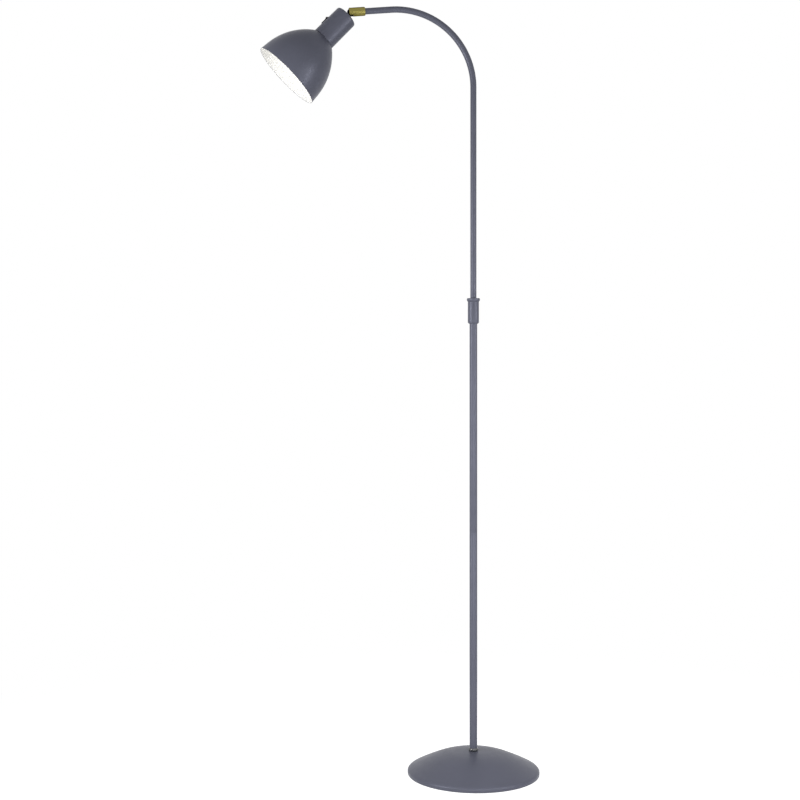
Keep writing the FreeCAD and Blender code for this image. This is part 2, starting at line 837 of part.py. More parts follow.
def switch_rocker():
    # Drawn level, then tilted so that the end nearer the cup's top stands up.
    surface = -(cup_side + switch_proud - face_gap)
    end_rise = rocker_half * math.tan(math.radians(rocker_angle))
    underside = surface + rocker_thickness
    corners = [
        Vector(surface, 0, 0),
        Vector(surface - end_rise, 0, rocker_half),
        Vector(underside, 0, rocker_half),
        Vector(underside, 0, -rocker_half),
        Vector(surface - end_rise, 0, -rocker_half),
        Vector(surface, 0, 0),
    ]
    side = Part.Face(Part.makePolygon(corners))
    side.translate(Vector(0, -rocker_width / 2, rocker_middle))
    rocker = side.extrude(Vector(0, rocker_width, 0))
    rocker = rocker.common(cross_rod(rocker_half, pivot_x, rocker_middle, rocker_width))
    hub = cross_rod(trunnion_radius + hub_wall, pivot_x, rocker_middle, rocker_width / 2)
    trunnion_reach = rocker_width / 2 + trunnion_length - face_gap
    trunnions = cross_rod(trunnion_radius, pivot_x, rocker_middle, trunnion_reach)
    rocker = rocker.fuse([hub, trunnions]).removeSplitter()
    rocker.rotate(Vector(pivot_x, 0, rocker_middle), Vector(0, 1, 0), -rocker_angle)
    return rocker


# ---- Bulb

bulb_contact_z = socket_floor - contact_thickness - socket_seat_gap
bulb_tip = bulb_contact_z - bulb_length
bulb_centre = bulb_tip + bulb_radius
bulb_cap_radius = socket_radius - bulb_cap_gap
bulb_neck_radius = bulb_cap_radius - bulb_cap_wall
insulator_top = bulb_contact_z - contact_button_height
insulator_bottom = insulator_top - insulator_height
cap_bottom = insulator_bottom - bulb_cap_length


def bulb_form(inset):
    # A ball with a neck that flares into it.
    reach = cap_bottom - bulb_centre
    neck = bulb_neck_radius
    flare = (reach ** 2 + neck ** 2 - bulb_radius ** 2) / (2 * (bulb_radius - neck))
    flare_centre_r = neck + flare
    across = flare_centre_r / (bulb_radius + flare)
    along = reach / (bulb_radius + flare)
    radius = bulb_radius - inset
    joint = (radius * across, bulb_centre + radius * along)
    flare_turn = math.atan2(reach - bulb_radius * along, flare_centre_r - bulb_radius * across) / 2
    grown = flare + inset
    flare_middle = (flare_centre_r - grown * math.cos(flare_turn), cap_bottom - grown * math.sin(flare_turn))
    ball_turn = (math.pi / 2 + math.asin(along)) / 2 - math.pi / 2
    ball_middle = (radius * math.cos(ball_turn), bulb_centre + radius * math.sin(ball_turn))
    return turned([
        (0, cap_bottom + bulb_neck_length),
        (neck - inset, cap_bottom + bulb_neck_length),
        (neck - inset, cap_bottom),
        (flare_middle, joint),
        (ball_middle, (0, bulb_centre - radius)),
    ])


def bulb_glass():
    return bulb_form(0).cut(bulb_form(bulb_glass_wall))


def bulb_cap():
    return ring(bulb_cap_radius, bulb_neck_radius, cap_bottom, insulator_bottom)


def bulb_insulator():
    disc = rod(bulb_neck_radius, insulator_bottom - insulator_plug, insulator_bottom)
    cone = Part.makeCone(bulb_cap_radius, insulator_radius, insulator_height, Vector(0, 0, insulator_bottom))
    return disc.fuse(cone).removeSplitter()


def bulb_contact():
    return rod(contact_button_radius, insulator_top, bulb_contact_z)


# ---- Files, one for each sub-part

upright_parts = [
    base_cover, foot_pad, base_weight, base_nipple, base_washer, lock_washer, base_nut, cable_grommet,
    foot_ring, pole_bottom_insert, lower_pole_tube, pole_sockets, pole_joiner, upper_pole_tube,
    pole_top_bush, collar_sleeve, collet, collar_nut, guide_sleeve, guide_clips, arm_tube,
]
knuckle_parts = [
    arm_nipple, swivel_washer, swivel_nut, knuckle_end_cap, knuckle_barrel, thrust_washer, disc_springs,
    ball_seat,
]
head_parts = [
    knuckle_ball, stem_washer, stem_nut, holder_cup, lampholder_cap, lampholder_body, socket_shell,
    centre_contact, shade, shade_ring, switch_body, switch_rocker, bulb_glass, bulb_cap, bulb_insulator,
    bulb_contact,
]

places = [(Placement(), upright_parts), (knuckle_place, knuckle_parts), (head_place, head_parts)]

os.makedirs("parts", exist_ok=True)
for place, makers in places:
    for maker in makers:
        name = maker.__name__
        shape = maker()
        shape.Placement = place.multiply(shape.Placement)
        shape.exportStep("parts/" + name + ".step")
        print(name, "solids", len(shape.Solids), "valid", shape.isValid(), "volume", round(shape.Volume, 1))

head_axis = head_place.Rotation.multVec(Vector(0, 0, -1))
rocker_pivot = head_place.multVec(Vector(pivot_x, 0, rocker_middle))
mouth_centre = head_place.multVec(Vector(0, 0, shade_mouth))
print("ball centre", ball_centre, "arm end", arm_end)
print("arm direction", arm_direction, "head axis", head_axis)
print("rocker pivot", rocker_pivot, "shade mouth centre", mouth_centre)
print("arm travel", arm_bottom - seam_high)
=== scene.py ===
import json
import math
from functools import partial
import bmesh
import bpy
from mathutils import Matrix, Vector


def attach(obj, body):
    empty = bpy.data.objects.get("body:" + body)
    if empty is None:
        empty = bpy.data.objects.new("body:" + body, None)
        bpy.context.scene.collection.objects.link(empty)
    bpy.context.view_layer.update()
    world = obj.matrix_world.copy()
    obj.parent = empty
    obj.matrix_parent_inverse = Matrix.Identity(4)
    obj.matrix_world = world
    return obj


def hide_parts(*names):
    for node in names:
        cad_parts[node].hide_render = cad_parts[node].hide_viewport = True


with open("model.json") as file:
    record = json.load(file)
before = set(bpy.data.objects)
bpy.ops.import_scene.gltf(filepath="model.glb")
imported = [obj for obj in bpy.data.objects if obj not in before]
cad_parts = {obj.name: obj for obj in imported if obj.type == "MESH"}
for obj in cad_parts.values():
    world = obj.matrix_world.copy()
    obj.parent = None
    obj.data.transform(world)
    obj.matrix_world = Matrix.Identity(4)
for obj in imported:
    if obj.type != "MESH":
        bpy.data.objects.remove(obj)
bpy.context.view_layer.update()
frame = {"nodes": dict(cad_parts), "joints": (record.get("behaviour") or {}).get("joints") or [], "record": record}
print("frame loaded,", len(frame["nodes"]), "CAD nodes")

# Places, all from the frame. The head and the knuckle have frames of their own:
# local +Z runs up the head's axis to the ball, and along the arm to the barrel's mouth.
joints = {joint["name"]: joint for joint in frame["joints"]}
ballCentre = Vector(joints["head_tilt"]["pos_m"])
armAxis = Vector(joints["knuckle_swivel"]["axis"]).normalized()
headAxis = Vector(joints["head_twist"]["axis"]).normalized()
tiny = 1e-6
sharpFrom = 35.0  # degrees between two faces


def turnedPlace(centre, axis):
    return Matrix.Translation(centre) @ Matrix.Rotation(math.atan2(axis.x, axis.z), 4, "Y")


upright = Matrix.Identity(4)
headPlace = turnedPlace(ballCentre, -headAxis)
kneePlace = turnedPlace(ballCentre, armAxis)


def extent(cadNode, place=upright):
    # Lowest and highest corner of a CAD node in a local frame
    toLocal = place.inverted()
    corners = [toLocal @ vertex.co for vertex in frame["nodes"][cadNode].data.vertices]
    return [Vector([pick(values) for values in zip(*corners)]) for pick in (min, max)]


# Outlines, as lists of (radius, height)

def arc(centre, radius, first, last, steps):
    # Points from one angle to another, both counted from the outward direction
    turns = [first + (last - first) * step / steps for step in range(steps + 1)]
    return [(centre[0] + radius * math.cos(turn), centre[1] + radius * math.sin(turn)) for turn in turns]


def rounded(corners, steps=5):
    # A closed outline whose corners may give a rounding as a third number
    points = []
    for index, corner in enumerate(corners):
        here = Vector(corner[:2])
        size = corner[2] if len(corner) > 2 else 0
        if size <= 0:
            points.append(tuple(here))
            continue
        before = (Vector(corners[index - 1][:2]) - here).normalized()
        after = (Vector(corners[(index + 1) % len(corners)][:2]) - here).normalized()
        half = before.angle(after) / 2
        centre = here + (before + after).normalized() * size / math.sin(half)
        start, end = [here + side * size / math.tan(half) - centre for side in (before, after)]
        first = math.atan2(start.y, start.x)
        points += arc(centre, size, first, first - start.angle_signed(end), steps)
    return points


def smoothArcs(points, firstAngle, steps):
    # Arcs through points that go outwards and down, each leaving the last one smoothly
    angle = math.radians(firstAngle)
    line = [tuple(points[0])]
    for first, last in zip(points, points[1:]):
        run = last[0] - first[0]
        fall = first[1] - last[1]
        endAngle = 2 * math.atan2(fall, run) - angle
        if abs(endAngle - angle) < tiny:
            line.append(tuple(last))
            continue
        radius = math.hypot(run, fall) / (2 * math.sin((endAngle - angle) / 2))
        centre = (first[0] - radius * math.sin(angle), first[1] - radius * math.cos(angle))
        line += arc(centre, radius, math.pi / 2 - angle, math.pi / 2 - endAngle, steps)[1:]
        angle = endAngle
    return line


def beside(line, wall):
    # The same line moved to its right-hand side, which is the inside of a shell drawn outwards and down
    moved = []
    for index, point in enumerate(line):
        before = Vector(line[max(index - 1, 0)])
        after = Vector(line[min(index + 1, len(line) - 1)])
        along = (after - before).normalized()
        moved.append((point[0] + along.y * wall, point[1] - along.x * wall))
    return moved


def shellOutline(line, wall, edgeSteps=4):
    # A closed section of a sheet with a rounded edge at its outer end
    inner = beside(line, wall)
    end = (Vector(line[-1]) + Vector(inner[-1])) / 2
    arm = Vector(line[-1]) - end
    first = math.atan2(arm.y, arm.x)
    return line + arc(end, arm.length, first, first - math.pi, edgeSteps)[1:-1] + inner[::-1]


# Meshes

def addObject(name, data):
    made = bpy.data.objects.new(name, data)
    bpy.context.scene.collection.objects.link(made)
    return made


def smooth(piece, sharpAngle=sharpFrom):
    piece.data.shade_smooth()
    piece.data.set_sharp_from_angle(angle=math.radians(sharpAngle))


def finishMesh(bm, name, place, sharpAngle=sharpFrom):
    bmesh.ops.remove_doubles(bm, verts=bm.verts, dist=tiny)
    bmesh.ops.recalc_face_normals(bm, faces=bm.faces)
    mesh = bpy.data.meshes.new(name)
    bm.to_mesh(mesh)
    bm.free()
    mesh.transform(place)
    piece = addObject(name, mesh)
    smooth(piece, sharpAngle)
    return piece


def lathe(name, outline, place=upright, turns=96, closed=True, innerFrom=math.inf, sharpAngle=sharpFrom):
    # Turns an outline round the local Z axis. Faces from the point innerFrom on get material slot 1.
    bm = bmesh.new()
    circle = arc((0, 0), 1, 0, 2 * math.pi, turns)[:-1]
    rings = []
    for radius, height in outline:
        if radius < tiny:
            rings.append([bm.verts.new((0, 0, height))] * turns)
        else:
            rings.append([bm.verts.new((radius * x, radius * y, height)) for x, y in circle])
    for row in range(len(rings) if closed else len(rings) - 1):
        first, second = rings[row], rings[(row + 1) % len(rings)]
        for index in range(turns):
            after = (index + 1) % turns
            corners = list(dict.fromkeys([first[index], first[after], second[after], second[index]]))
            if len(corners) > 2:
                bm.faces.new(corners).material_index = int(row >= innerFrom)
    return finishMesh(bm, name, place, sharpAngle)


def extruded(name, outline, halfWidth, place):
    # A closed outline of (x, z) points drawn through from -y to +y
    bm = bmesh.new()
    sides = [[bm.verts.new((x, y, z)) for x, z in outline] for y in (-halfWidth, halfWidth)]
    bm.faces.new(sides[0])
    bm.faces.new(sides[1][::-1])
    for index in range(len(outline)):
        after = (index + 1) % len(outline)
        bm.faces.new([sides[0][index], sides[0][after], sides[1][after], sides[1][index]])
    return finishMesh(bm, name, place)


def block(name, low, high, place=upright):
    outline = [(low[0], low[2]), (high[0], low[2]), (high[0], high[2]), (low[0], high[2])]
    middle = (low[1] + high[1]) / 2
    return extruded(name, outline, (high[1] - low[1]) / 2, place @ Matrix.Translation((0, middle, 0)))


def settle(piece):
    # Turns a piece and its modifiers into a plain mesh
    graph = bpy.context.evaluated_depsgraph_get()
    mesh = bpy.data.meshes.new_from_object(piece.evaluated_get(graph))
    piece.modifiers.clear()
    piece.data = mesh
    mesh.name = piece.name


def modify(piece, kind, sharpAngle=sharpFrom, **settings):
    modifier = piece.modifiers.new(kind.lower(), kind)
    for key, value in settings.items():
        setattr(modifier, key, value)
    settle(piece)
    smooth(piece, sharpAngle)


def cut(piece, tool):
    modify(piece, "BOOLEAN", operation="DIFFERENCE", solver="EXACT", object=tool)
    bpy.data.objects.remove(tool)


def softenEdges(piece, width, steps=3, angle=40.0):
    modify(piece, "BEVEL", width=width, segments=steps, limit_method="ANGLE",
           angle_limit=math.radians(angle), harden_normals=False)


def thicken(piece, wall, sharpAngle=sharpFrom):
    # Gives a surface a wall on its inner side
    modify(piece, "SOLIDIFY", sharpAngle, thickness=wall, offset=-1)


def dress(piece, body, slot, *replaced, finish=()):
    # A piece that brings no material and is given none gets the finish of its slot
    if not piece.data.materials:
        for name in finish or [slotFinishes[slot]]:
            piece.data.materials.append(materials[name])
    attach(piece, body)
    if replaced:
        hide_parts(*replaced)


# Geometry Nodes

def plug(tree, value, socket):
    # A node stands for its first output
    if isinstance(value, bpy.types.Node):
        value = value.outputs[0]
    if isinstance(value, bpy.types.NodeSocket):
        tree.links.new(value, socket)
    else:
        socket.default_value = value


def node(tree, kind, inputs=None, **settings):
    made = tree.nodes.new(kind)
    for key, value in settings.items():
        setattr(made, key, value)
    for key, value in (inputs or {}).items():
        plug(tree, value, made.inputs[key])
    return made


def reckon(tree, operation, *values):
    return node(tree, "ShaderNodeMath", dict(enumerate(values)), operation=operation)


def newTree(name, measures, counts):
    # Gives the tree, its inputs and a short form of reckon
    tree = bpy.data.node_groups.new(name, "GeometryNodeTree")
    kinds = dict.fromkeys(measures, "Float") | dict.fromkeys(counts, "Int") | {"Material": "Material"}
    for label, kind in kinds.items():
        tree.interface.new_socket(label, in_out="INPUT", socket_type="NodeSocket" + kind)
    tree.interface.new_socket("Geometry", in_out="OUTPUT", socket_type="NodeSocketGeometry")
    return tree, tree.nodes.new("NodeGroupInput").outputs, partial(reckon, tree)


def endTree(tree, geometry, material):
    real = node(tree, "GeometryNodeRealizeInstances", {"Geometry": geometry})
    painted = node(tree, "GeometryNodeSetMaterial", {"Geometry": real, "Material": material})
    node(tree, "NodeGroupOutput", {0: painted})
    return tree


def position(tree):
    return node(tree, "ShaderNodeSeparateXYZ", {0: node(tree, "GeometryNodeInputPosition")}).outputs


def tubeAlong(tree, line, sides, radius):
    circle = node(tree, "GeometryNodeCurvePrimitiveCircle", {"Resolution": sides, "Radius": radius})
    return node(tree, "GeometryNodeCurveToMesh", {"Curve": line, "Profile Curve": circle})


def grow(name, tree, values, place=upright, sharpAngle=sharpFrom):
    # Runs a tree and keeps its result as a plain mesh
    holder = addObject(name + "_holder", bpy.data.meshes.new(name + "_holder"))
    modifier = holder.modifiers.new("tree", "NODES")
    modifier.node_group = tree
    for item in tree.interface.items_tree:
        if item.in_out == "INPUT":
            modifier[item.identifier] = values[item.name]
    settle(holder)
    mesh = holder.data
    bpy.data.objects.remove(holder)
    bm = bmesh.new()
    bm.from_mesh(mesh)
    piece = finishMesh(bm, name, place, sharpAngle)
    for material in mesh.materials:
        piece.data.materials.append(material)
    bpy.data.meshes.remove(mesh)
    return piece


def bentTubeTree():
    # A tube that runs up, bends over towards -X in one arc, and runs straight on
    tree, given, calc = newTree("bent tube", [
        "Bottom", "Run Up", "Bend Radius", "Bend Angle", "Run Out", "Tube Radius"], ["Rings", "Sides"])
    radius, bendAngle, runUp = given["Bend Radius"], given["Bend Angle"], given["Run Up"]
    bendEnd = calc("ADD", runUp, calc("MULTIPLY", radius, bendAngle))
    lineEnd = node(tree, "ShaderNodeCombineXYZ", {"X": calc("ADD", bendEnd, given["Run Out"])})
    line = node(tree, "GeometryNodeCurvePrimitiveLine", {"End": lineEnd})
    even = node(tree, "GeometryNodeResampleCurve", {"Curve": line, "Count": given["Rings"]})
    way = position(tree)["X"]
    past = calc("DIVIDE", calc("SUBTRACT", way, runUp), radius)
    angle = calc("MINIMUM", calc("MAXIMUM", past, 0.0), bendAngle)
    straight = calc("MAXIMUM", calc("SUBTRACT", way, bendEnd), 0.0)
    over = calc("MULTIPLY", radius, calc("SUBTRACT", 1.0, calc("COSINE", angle)))
    along = calc("MULTIPLY", straight, calc("SINE", bendAngle))
    climbed = calc("ADD", calc("MINIMUM", way, runUp), given["Bottom"])
    arched = calc("MULTIPLY", radius, calc("SINE", angle))
    dropped = calc("MULTIPLY", straight, calc("COSINE", bendAngle))
    place = node(tree, "ShaderNodeCombineXYZ", {
        "X": calc("MULTIPLY", calc("ADD", over, along), -1.0),
        "Z": calc("ADD", calc("ADD", climbed, arched), dropped)})
    bentLine = node(tree, "GeometryNodeSetPosition", {"Geometry": even, "Position": place})
    tube = tubeAlong(tree, bentLine, given["Sides"], given["Tube Radius"])
    return endTree(tree, tube, given["Material"])


def rolledThreadTree():
    # A round wall with a thread rolled into it, running out at both ends
    tree, given, calc = newTree("rolled thread", [
        "Bottom", "Length", "Radius", "Depth", "Pitch", "Runout"], ["Rows", "Sides"])
    low = node(tree, "ShaderNodeCombineXYZ", {"Z": given["Bottom"]})
    high = node(tree, "ShaderNodeCombineXYZ", {"Z": calc("ADD", given["Bottom"], given["Length"])})
    line = node(tree, "GeometryNodeCurvePrimitiveLine", {"Start": low, "End": high})
    even = node(tree, "GeometryNodeResampleCurve", {"Curve": line, "Count": given["Rows"]})
    wall = tubeAlong(tree, even, given["Sides"], given["Radius"])
    x, y, z = position(tree)
    height = calc("SUBTRACT", z, given["Bottom"])
    climb = calc("MULTIPLY", calc("DIVIDE", height, given["Pitch"]), 2 * math.pi)
    wave = calc("COSINE", calc("SUBTRACT", climb, calc("ARCTAN2", y, x)))
    dip = calc("MULTIPLY", calc("ADD", wave, 1.0), 0.5)
    toEnd = calc("MINIMUM", height, calc("SUBTRACT", given["Length"], height))
    fade = calc("MINIMUM", calc("MAXIMUM", calc("DIVIDE", toEnd, given["Runout"]), 0.0), 1.0)
    depth = calc("MULTIPLY", calc("MULTIPLY", dip, fade), given["Depth"])
    ratio = calc("SUBTRACT", 1.0, calc("DIVIDE", depth, given["Radius"]))
    place = node(tree, "ShaderNodeCombineXYZ", {
        "X": calc("MULTIPLY", x, ratio), "Y": calc("MULTIPLY", y, ratio), "Z": z})
    rolled = node(tree, "GeometryNodeSetPosition", {"Geometry": wall, "Position": place})
    return endTree(tree, rolled, given["Material"])


def ringOfRibsTree():
    # Upright ribs set out round a circle
    tree, given, calc = newTree("ring of ribs", [
        "Circle", "Rib Radius", "Rib Height", "Bottom"], ["Count", "Sides"])
    circle = node(tree, "GeometryNodeCurvePrimitiveCircle", {
        "Resolution": given["Count"], "Radius": given["Circle"]})
    spots = node(tree, "GeometryNodeCurveToPoints", {"Curve": circle, "Count": given["Count"]})
    middle = calc("ADD", given["Bottom"], calc("MULTIPLY", given["Rib Height"], 0.5))
    lift = node(tree, "ShaderNodeCombineXYZ", {"Z": middle})
    raised = node(tree, "GeometryNodeSetPosition", {"Geometry": spots, "Offset": lift})
    rib = node(tree, "GeometryNodeMeshCylinder", {
        "Vertices": given["Sides"], "Radius": given["Rib Radius"], "Depth": given["Rib Height"]})
    standing = node(tree, "GeometryNodeInstanceOnPoints", {"Points": raised, "Instance": rib})
    return endTree(tree, standing, given["Material"])


# Materials

socketNames = {
    "metal": "Metallic", "rough": "Roughness", "specular": "Specular IOR Level", "edgeTint": "Specular Tint",
    "coat": "Coat Weight", "coatRough": "Coat Roughness", "glow": "Emission Color",
    "glowStrength": "Emission Strength", "brushed": "Anisotropic", "brushTurn": "Anisotropic Rotation",
}


def newMaterial(name, **settings):
    material = bpy.data.materials.new(name)
    material.use_nodes = True
    shader = material.node_tree.nodes["Principled BSDF"]
    for key, value in settings.items():
        shader.inputs[socketNames[key]].default_value = value
    return material, material.node_tree, shader


def noise(tree, scale, detail=3.0, stretch=(1, 1, 1)):
    # The scale counts patches to the metre
    where = node(tree, "ShaderNodeTexCoord").outputs["Object"]
    mapped = node(tree, "ShaderNodeMapping", {"Vector": where, "Scale": stretch})
    return node(tree, "ShaderNodeTexNoise", {"Vector": mapped, "Scale": scale, "Detail": detail})


def spread(tree, value, low, high, fromLow=0.3, fromHigh=0.7):
    return node(tree, "ShaderNodeMapRange", {
        "Value": value, "From Min": fromLow, "From Max": fromHigh, "To Min": low, "To Max": high})


def blendColors(tree, factor, first, second):
    mixer = node(tree, "ShaderNodeMix", data_type="RGBA")
    plug(tree, factor, mixer.inputs["Factor"])
    for key, value in (("A", first), ("B", second)):
        socket = next(s for s in mixer.inputs if s.name == key and s.type == "RGBA")
        plug(tree, (*value, 1) if isinstance(value, tuple) else value, socket)
    return next(s for s in mixer.outputs if s.type == "RGBA")


def shade(color, factor):
    return tuple(min(1.0, part * factor) for part in color)


def cloudy(tree, color, cloud, dark, light=1.0):
    # The colour wanders between two shares of its lightness
    return blendColors(tree, spread(tree, cloud, 0.0, 1.0), shade(color, dark), shade(color, light))


def surface(tree, shader, color, roughness):
    plug(tree, color, shader.inputs["Base Color"])
    plug(tree, roughness, shader.inputs["Roughness"])


def bump(tree, shader, height, strength, depth):
    # Goes on top of the bump that is already there
    made = node(tree, "ShaderNodeBump", {"Height": height, "Strength": strength, "Distance": depth})
    for link in shader.inputs["Normal"].links:
        tree.links.new(link.from_socket, made.inputs["Normal"])
    plug(tree, made, shader.inputs["Normal"])


def paint(name, color, rough=0.36, roughSpan=0.035, specular=0.1, flake=0.2, peel=0.05):
    # Sprayed satin paint with a trace of metal flake, orange peel, and edges where the coat lies thinner
    material, tree, shader = newMaterial(name, rough=rough, specular=specular, metal=flake)
    base = cloudy(tree, color, noise(tree, scale=14.0, detail=4.0), dark=0.965, light=1.035)
    edge = node(tree, "ShaderNodeNewGeometry").outputs["Pointiness"]
    worn = spread(tree, edge, 0.0, 0.2, fromLow=0.54, fromHigh=0.62)
    mottle = spread(tree, noise(tree, scale=90.0, detail=2.0), rough - roughSpan, rough + roughSpan)
    surface(tree, shader, blendColors(tree, worn, base, shade(color, factor=1.4)), mottle)
    bump(tree, shader, noise(tree, scale=520.0, detail=2.0), strength=peel, depth=0.0004)
    bump(tree, shader, noise(tree, scale=2600.0, detail=2.0), strength=peel * 0.6, depth=0.00008)
    return material


def turnedMetal(name, color, place, rough=0.36, roughSpan=0.02, rings=2600.0, tarnish=(0.3, 0.2, 0.08),
                tarnishShare=0.06):
    # Lathe-turned metal: fine rings round the local axis draw its highlights out lengthwise
    material, tree, shader = newMaterial(
        name, metal=1.0, rough=rough, brushed=1.0, brushTurn=0.25, edgeTint=(0.04, 0.03, 0.01, 1))
    where = node(tree, "ShaderNodeTexCoord").outputs["Object"]
    axis = place.to_3x3() @ Vector((0, 0, 1))
    away = node(tree, "ShaderNodeVectorMath", {0: where, 1: place.translation}, operation="SUBTRACT")
    along = node(tree, "ShaderNodeVectorMath", {0: away, 1: axis}, operation="DOT_PRODUCT").outputs["Value"]
    around = node(tree, "ShaderNodeVectorMath", {0: axis, 1: away}, operation="CROSS_PRODUCT")
    tangent = node(tree, "ShaderNodeVectorTransform", {"Vector": around},
                   vector_type="VECTOR", convert_from="OBJECT", convert_to="WORLD")
    plug(tree, tangent, shader.inputs["Tangent"])
    flat = node(tree, "ShaderNodeCombineXYZ", {"Z": along})
    marks = node(tree, "ShaderNodeTexNoise", {"Vector": flat, "Scale": rings, "Detail": 3.0})
    cloud = noise(tree, scale=160.0, detail=4.0)
    stains = spread(tree, cloud, 0.0, tarnishShare, fromLow=0.45, fromHigh=0.75)
    surface(tree, shader, blendColors(tree, stains, color, tarnish),
            spread(tree, marks, rough - roughSpan, rough + roughSpan))
    bump(tree, shader, marks, strength=0.06, depth=0.00003)
    return material


def plated(name, color, rough=0.35, scratch=900.0):
    # Plain plated or bare steel with a fine stretched grain
    material, tree, shader = newMaterial(name, metal=1.0, rough=rough)
    tone = cloudy(tree, color, noise(tree, scale=70.0, detail=4.0), dark=0.86, light=1.06)
    grain = noise(tree, scratch, stretch=(1, 1, 0.12))
    surface(tree, shader, tone, spread(tree, grain, rough - 0.08, rough + 0.12))
    bump(tree, shader, grain, strength=0.15, depth=0.00005)
    return material


def moulded(name, color, rough=0.45, grainScale=1500.0, strength=0.15, specular=0.5):
    # Moulded plastic or rubber with a fine spark-eroded grain
    material, tree, shader = newMaterial(name, rough=rough, specular=specular)
    tone = cloudy(tree, color, noise(tree, scale=45.0), dark=0.9, light=1.12)
    grain = noise(tree, grainScale)
    surface(tree, shader, tone, spread(tree, grain, rough - 0.05, rough + 0.07))
    bump(tree, shader, grain, strength, depth=0.00008)
    return material


def glossBlack(name, color):
    # Black gloss with a little dust
    material, tree, shader = newMaterial(name, rough=0.12, specular=0.6, coat=0.5, coatRough=0.05)
    dust = noise(tree, scale=700.0, detail=4.0)
    share = spread(tree, dust, 0.0, 0.5, fromLow=0.55, fromHigh=0.8)
    dusty = blendColors(tree, share, color, shade(color, factor=3.0))
    surface(tree, shader, dusty, spread(tree, dust, 0.09, 0.18))
    return material


def castIron(name, color, rust=(0.12, 0.06, 0.035)):
    material, tree, shader = newMaterial(name, metal=0.6, rough=0.75)
    lumps = noise(tree, scale=220.0, detail=5.0)
    rusty = spread(tree, noise(tree, scale=30.0, detail=5.0), 0.0, 0.4, fromLow=0.5, fromHigh=0.75)
    surface(tree, shader, blendColors(tree, rusty, color, rust), spread(tree, lumps, 0.65, 0.85))
    bump(tree, shader, lumps, strength=0.5, depth=0.0006)
    return material


def enamel(name, color):
    # White paint of the shade's inside
    material, tree, shader = newMaterial(name, rough=0.4, specular=0.4)
    orange = noise(tree, scale=480.0, detail=2.0)
    tone = cloudy(tree, color, noise(tree, scale=20.0), dark=0.98)
    surface(tree, shader, tone, spread(tree, orange, 0.36, 0.44))
    bump(tree, shader, orange, strength=0.1, depth=0.0003)
    return material


def opalGlass(name, color, glow, glowStrength):
    material, tree, shader = newMaterial(
        name, rough=0.22, specular=0.5, coat=0.3, coatRough=0.08, glow=(*glow, 1), glowStrength=glowStrength)
    milk = noise(tree, scale=60.0)
    surface(tree, shader, cloudy(tree, color, milk, dark=0.97), spread(tree, milk, 0.19, 0.26))
    return material


finishes = {
    "satin_grey_paint": (paint, {"color": (0.122, 0.127, 0.165)}),
    "white_enamel": (enamel, {"color": (0.86, 0.86, 0.85)}),
    "black_rubber": (moulded, {
        "color": (0.022, 0.022, 0.023), "rough": 0.8, "grainScale": 900.0, "strength": 0.3, "specular": 0.3}),
    "black_switch_plastic": (moulded, {"color": (0.004, 0.004, 0.0045), "rough": 0.6, "specular": 0.05}),
    "black_holder_plastic": (moulded, {"color": (0.02, 0.02, 0.022), "rough": 0.5}),
    "natural_nylon": (moulded, {"color": (0.74, 0.73, 0.69), "rough": 0.5, "strength": 0.08}),
    "lacquered_brass": (turnedMetal, {"color": (0.265, 0.232, 0.07), "place": kneePlace}),
    "rolled_brass": (plated, {"color": (0.265, 0.232, 0.07), "rough": 0.3}),
    "zinc_plated_steel": (plated, {"color": (0.60, 0.61, 0.62)}),
    "spring_steel": (plated, {"color": (0.42, 0.42, 0.44), "rough": 0.3}),
    "rolled_cap_metal": (plated, {"color": (0.66, 0.66, 0.67), "rough": 0.28}),
    "black_gloss": (glossBlack, {"color": (0.048, 0.05, 0.054)}),
    "blackened_steel": (moulded, {
        "color": (0.004, 0.004, 0.0045), "rough": 0.45, "strength": 0.05, "specular": 0.02}),
    "cast_iron": (castIron, {"color": (0.07, 0.07, 0.07)}),
    "opal_glass": (opalGlass, {
        "color": (0.90, 0.88, 0.82), "glow": (1.0, 0.965, 0.9), "glowStrength": 1.4}),
}
materials = {name: make(name, **values) for name, (make, values) in finishes.items()}
print("materials ready")

# The finish that each slot gets, also on the CAD nodes that keep their shape
slotFinishes = {
    "grey_paint": "satin_grey_paint", "shade_paint": "satin_grey_paint", "black_gloss": "black_gloss",
    "black_rubber": "black_rubber", "cast_weight": "cast_iron", "zinc_steel": "zinc_plated_steel",
    "white_nylon": "natural_nylon", "polished_brass": "rolled_brass", "black_steel": "blackened_steel",
    "holder_plastic": "black_holder_plastic", "switch_plastic": "black_switch_plastic",
    "opal_glass": "opal_glass", "cap_metal": "rolled_cap_metal", "spring_steel": "spring_steel",
}
for part in frame["record"]["subparts"]:
    cadMesh = frame["nodes"][part["node"]].data
    cadMesh.materials.clear()
    cadMesh.materials.append(materials[slotFinishes[part["material_slot"]]])

bentTube = bentTubeTree()
rolledThread = rolledThreadTree()
ringOfRibs = ringOfRibsTree()


# Base. The cable's way in has a frame of its own, whose local +Z runs out of the base.

inletLow, inletHigh = extent("cable_grommet")
inletLength = inletHigh.y - inletLow.y
inletCentre = (0, inletLow.y, (inletLow.z + inletHigh.z) / 2)
inletPlace = Matrix.Translation(inletCentre) @ Matrix.Rotation(-math.pi / 2, 4, "X")

grommetSizes = {
    "outer": 0.0045, "bore": 0.0032, "innerRound": 0.0003, "outerRound": 0.0006, "boreRound": 0.0005,
    "turns": 48,
}


def makeGrommet(sizes):
    bore, outer, inner = sizes["bore"], sizes["outer"], sizes["innerRound"]
    outline = rounded([
        (bore, 0, inner), (outer, 0, inner), (outer, inletLength, sizes["outerRound"]),
        (bore, inletLength, sizes["boreRound"])])
    grommet = lathe("cable_grommet_rubber", outline, inletPlace, sizes["turns"])
    dress(grommet, "stand", "black_rubber", "cable_grommet")


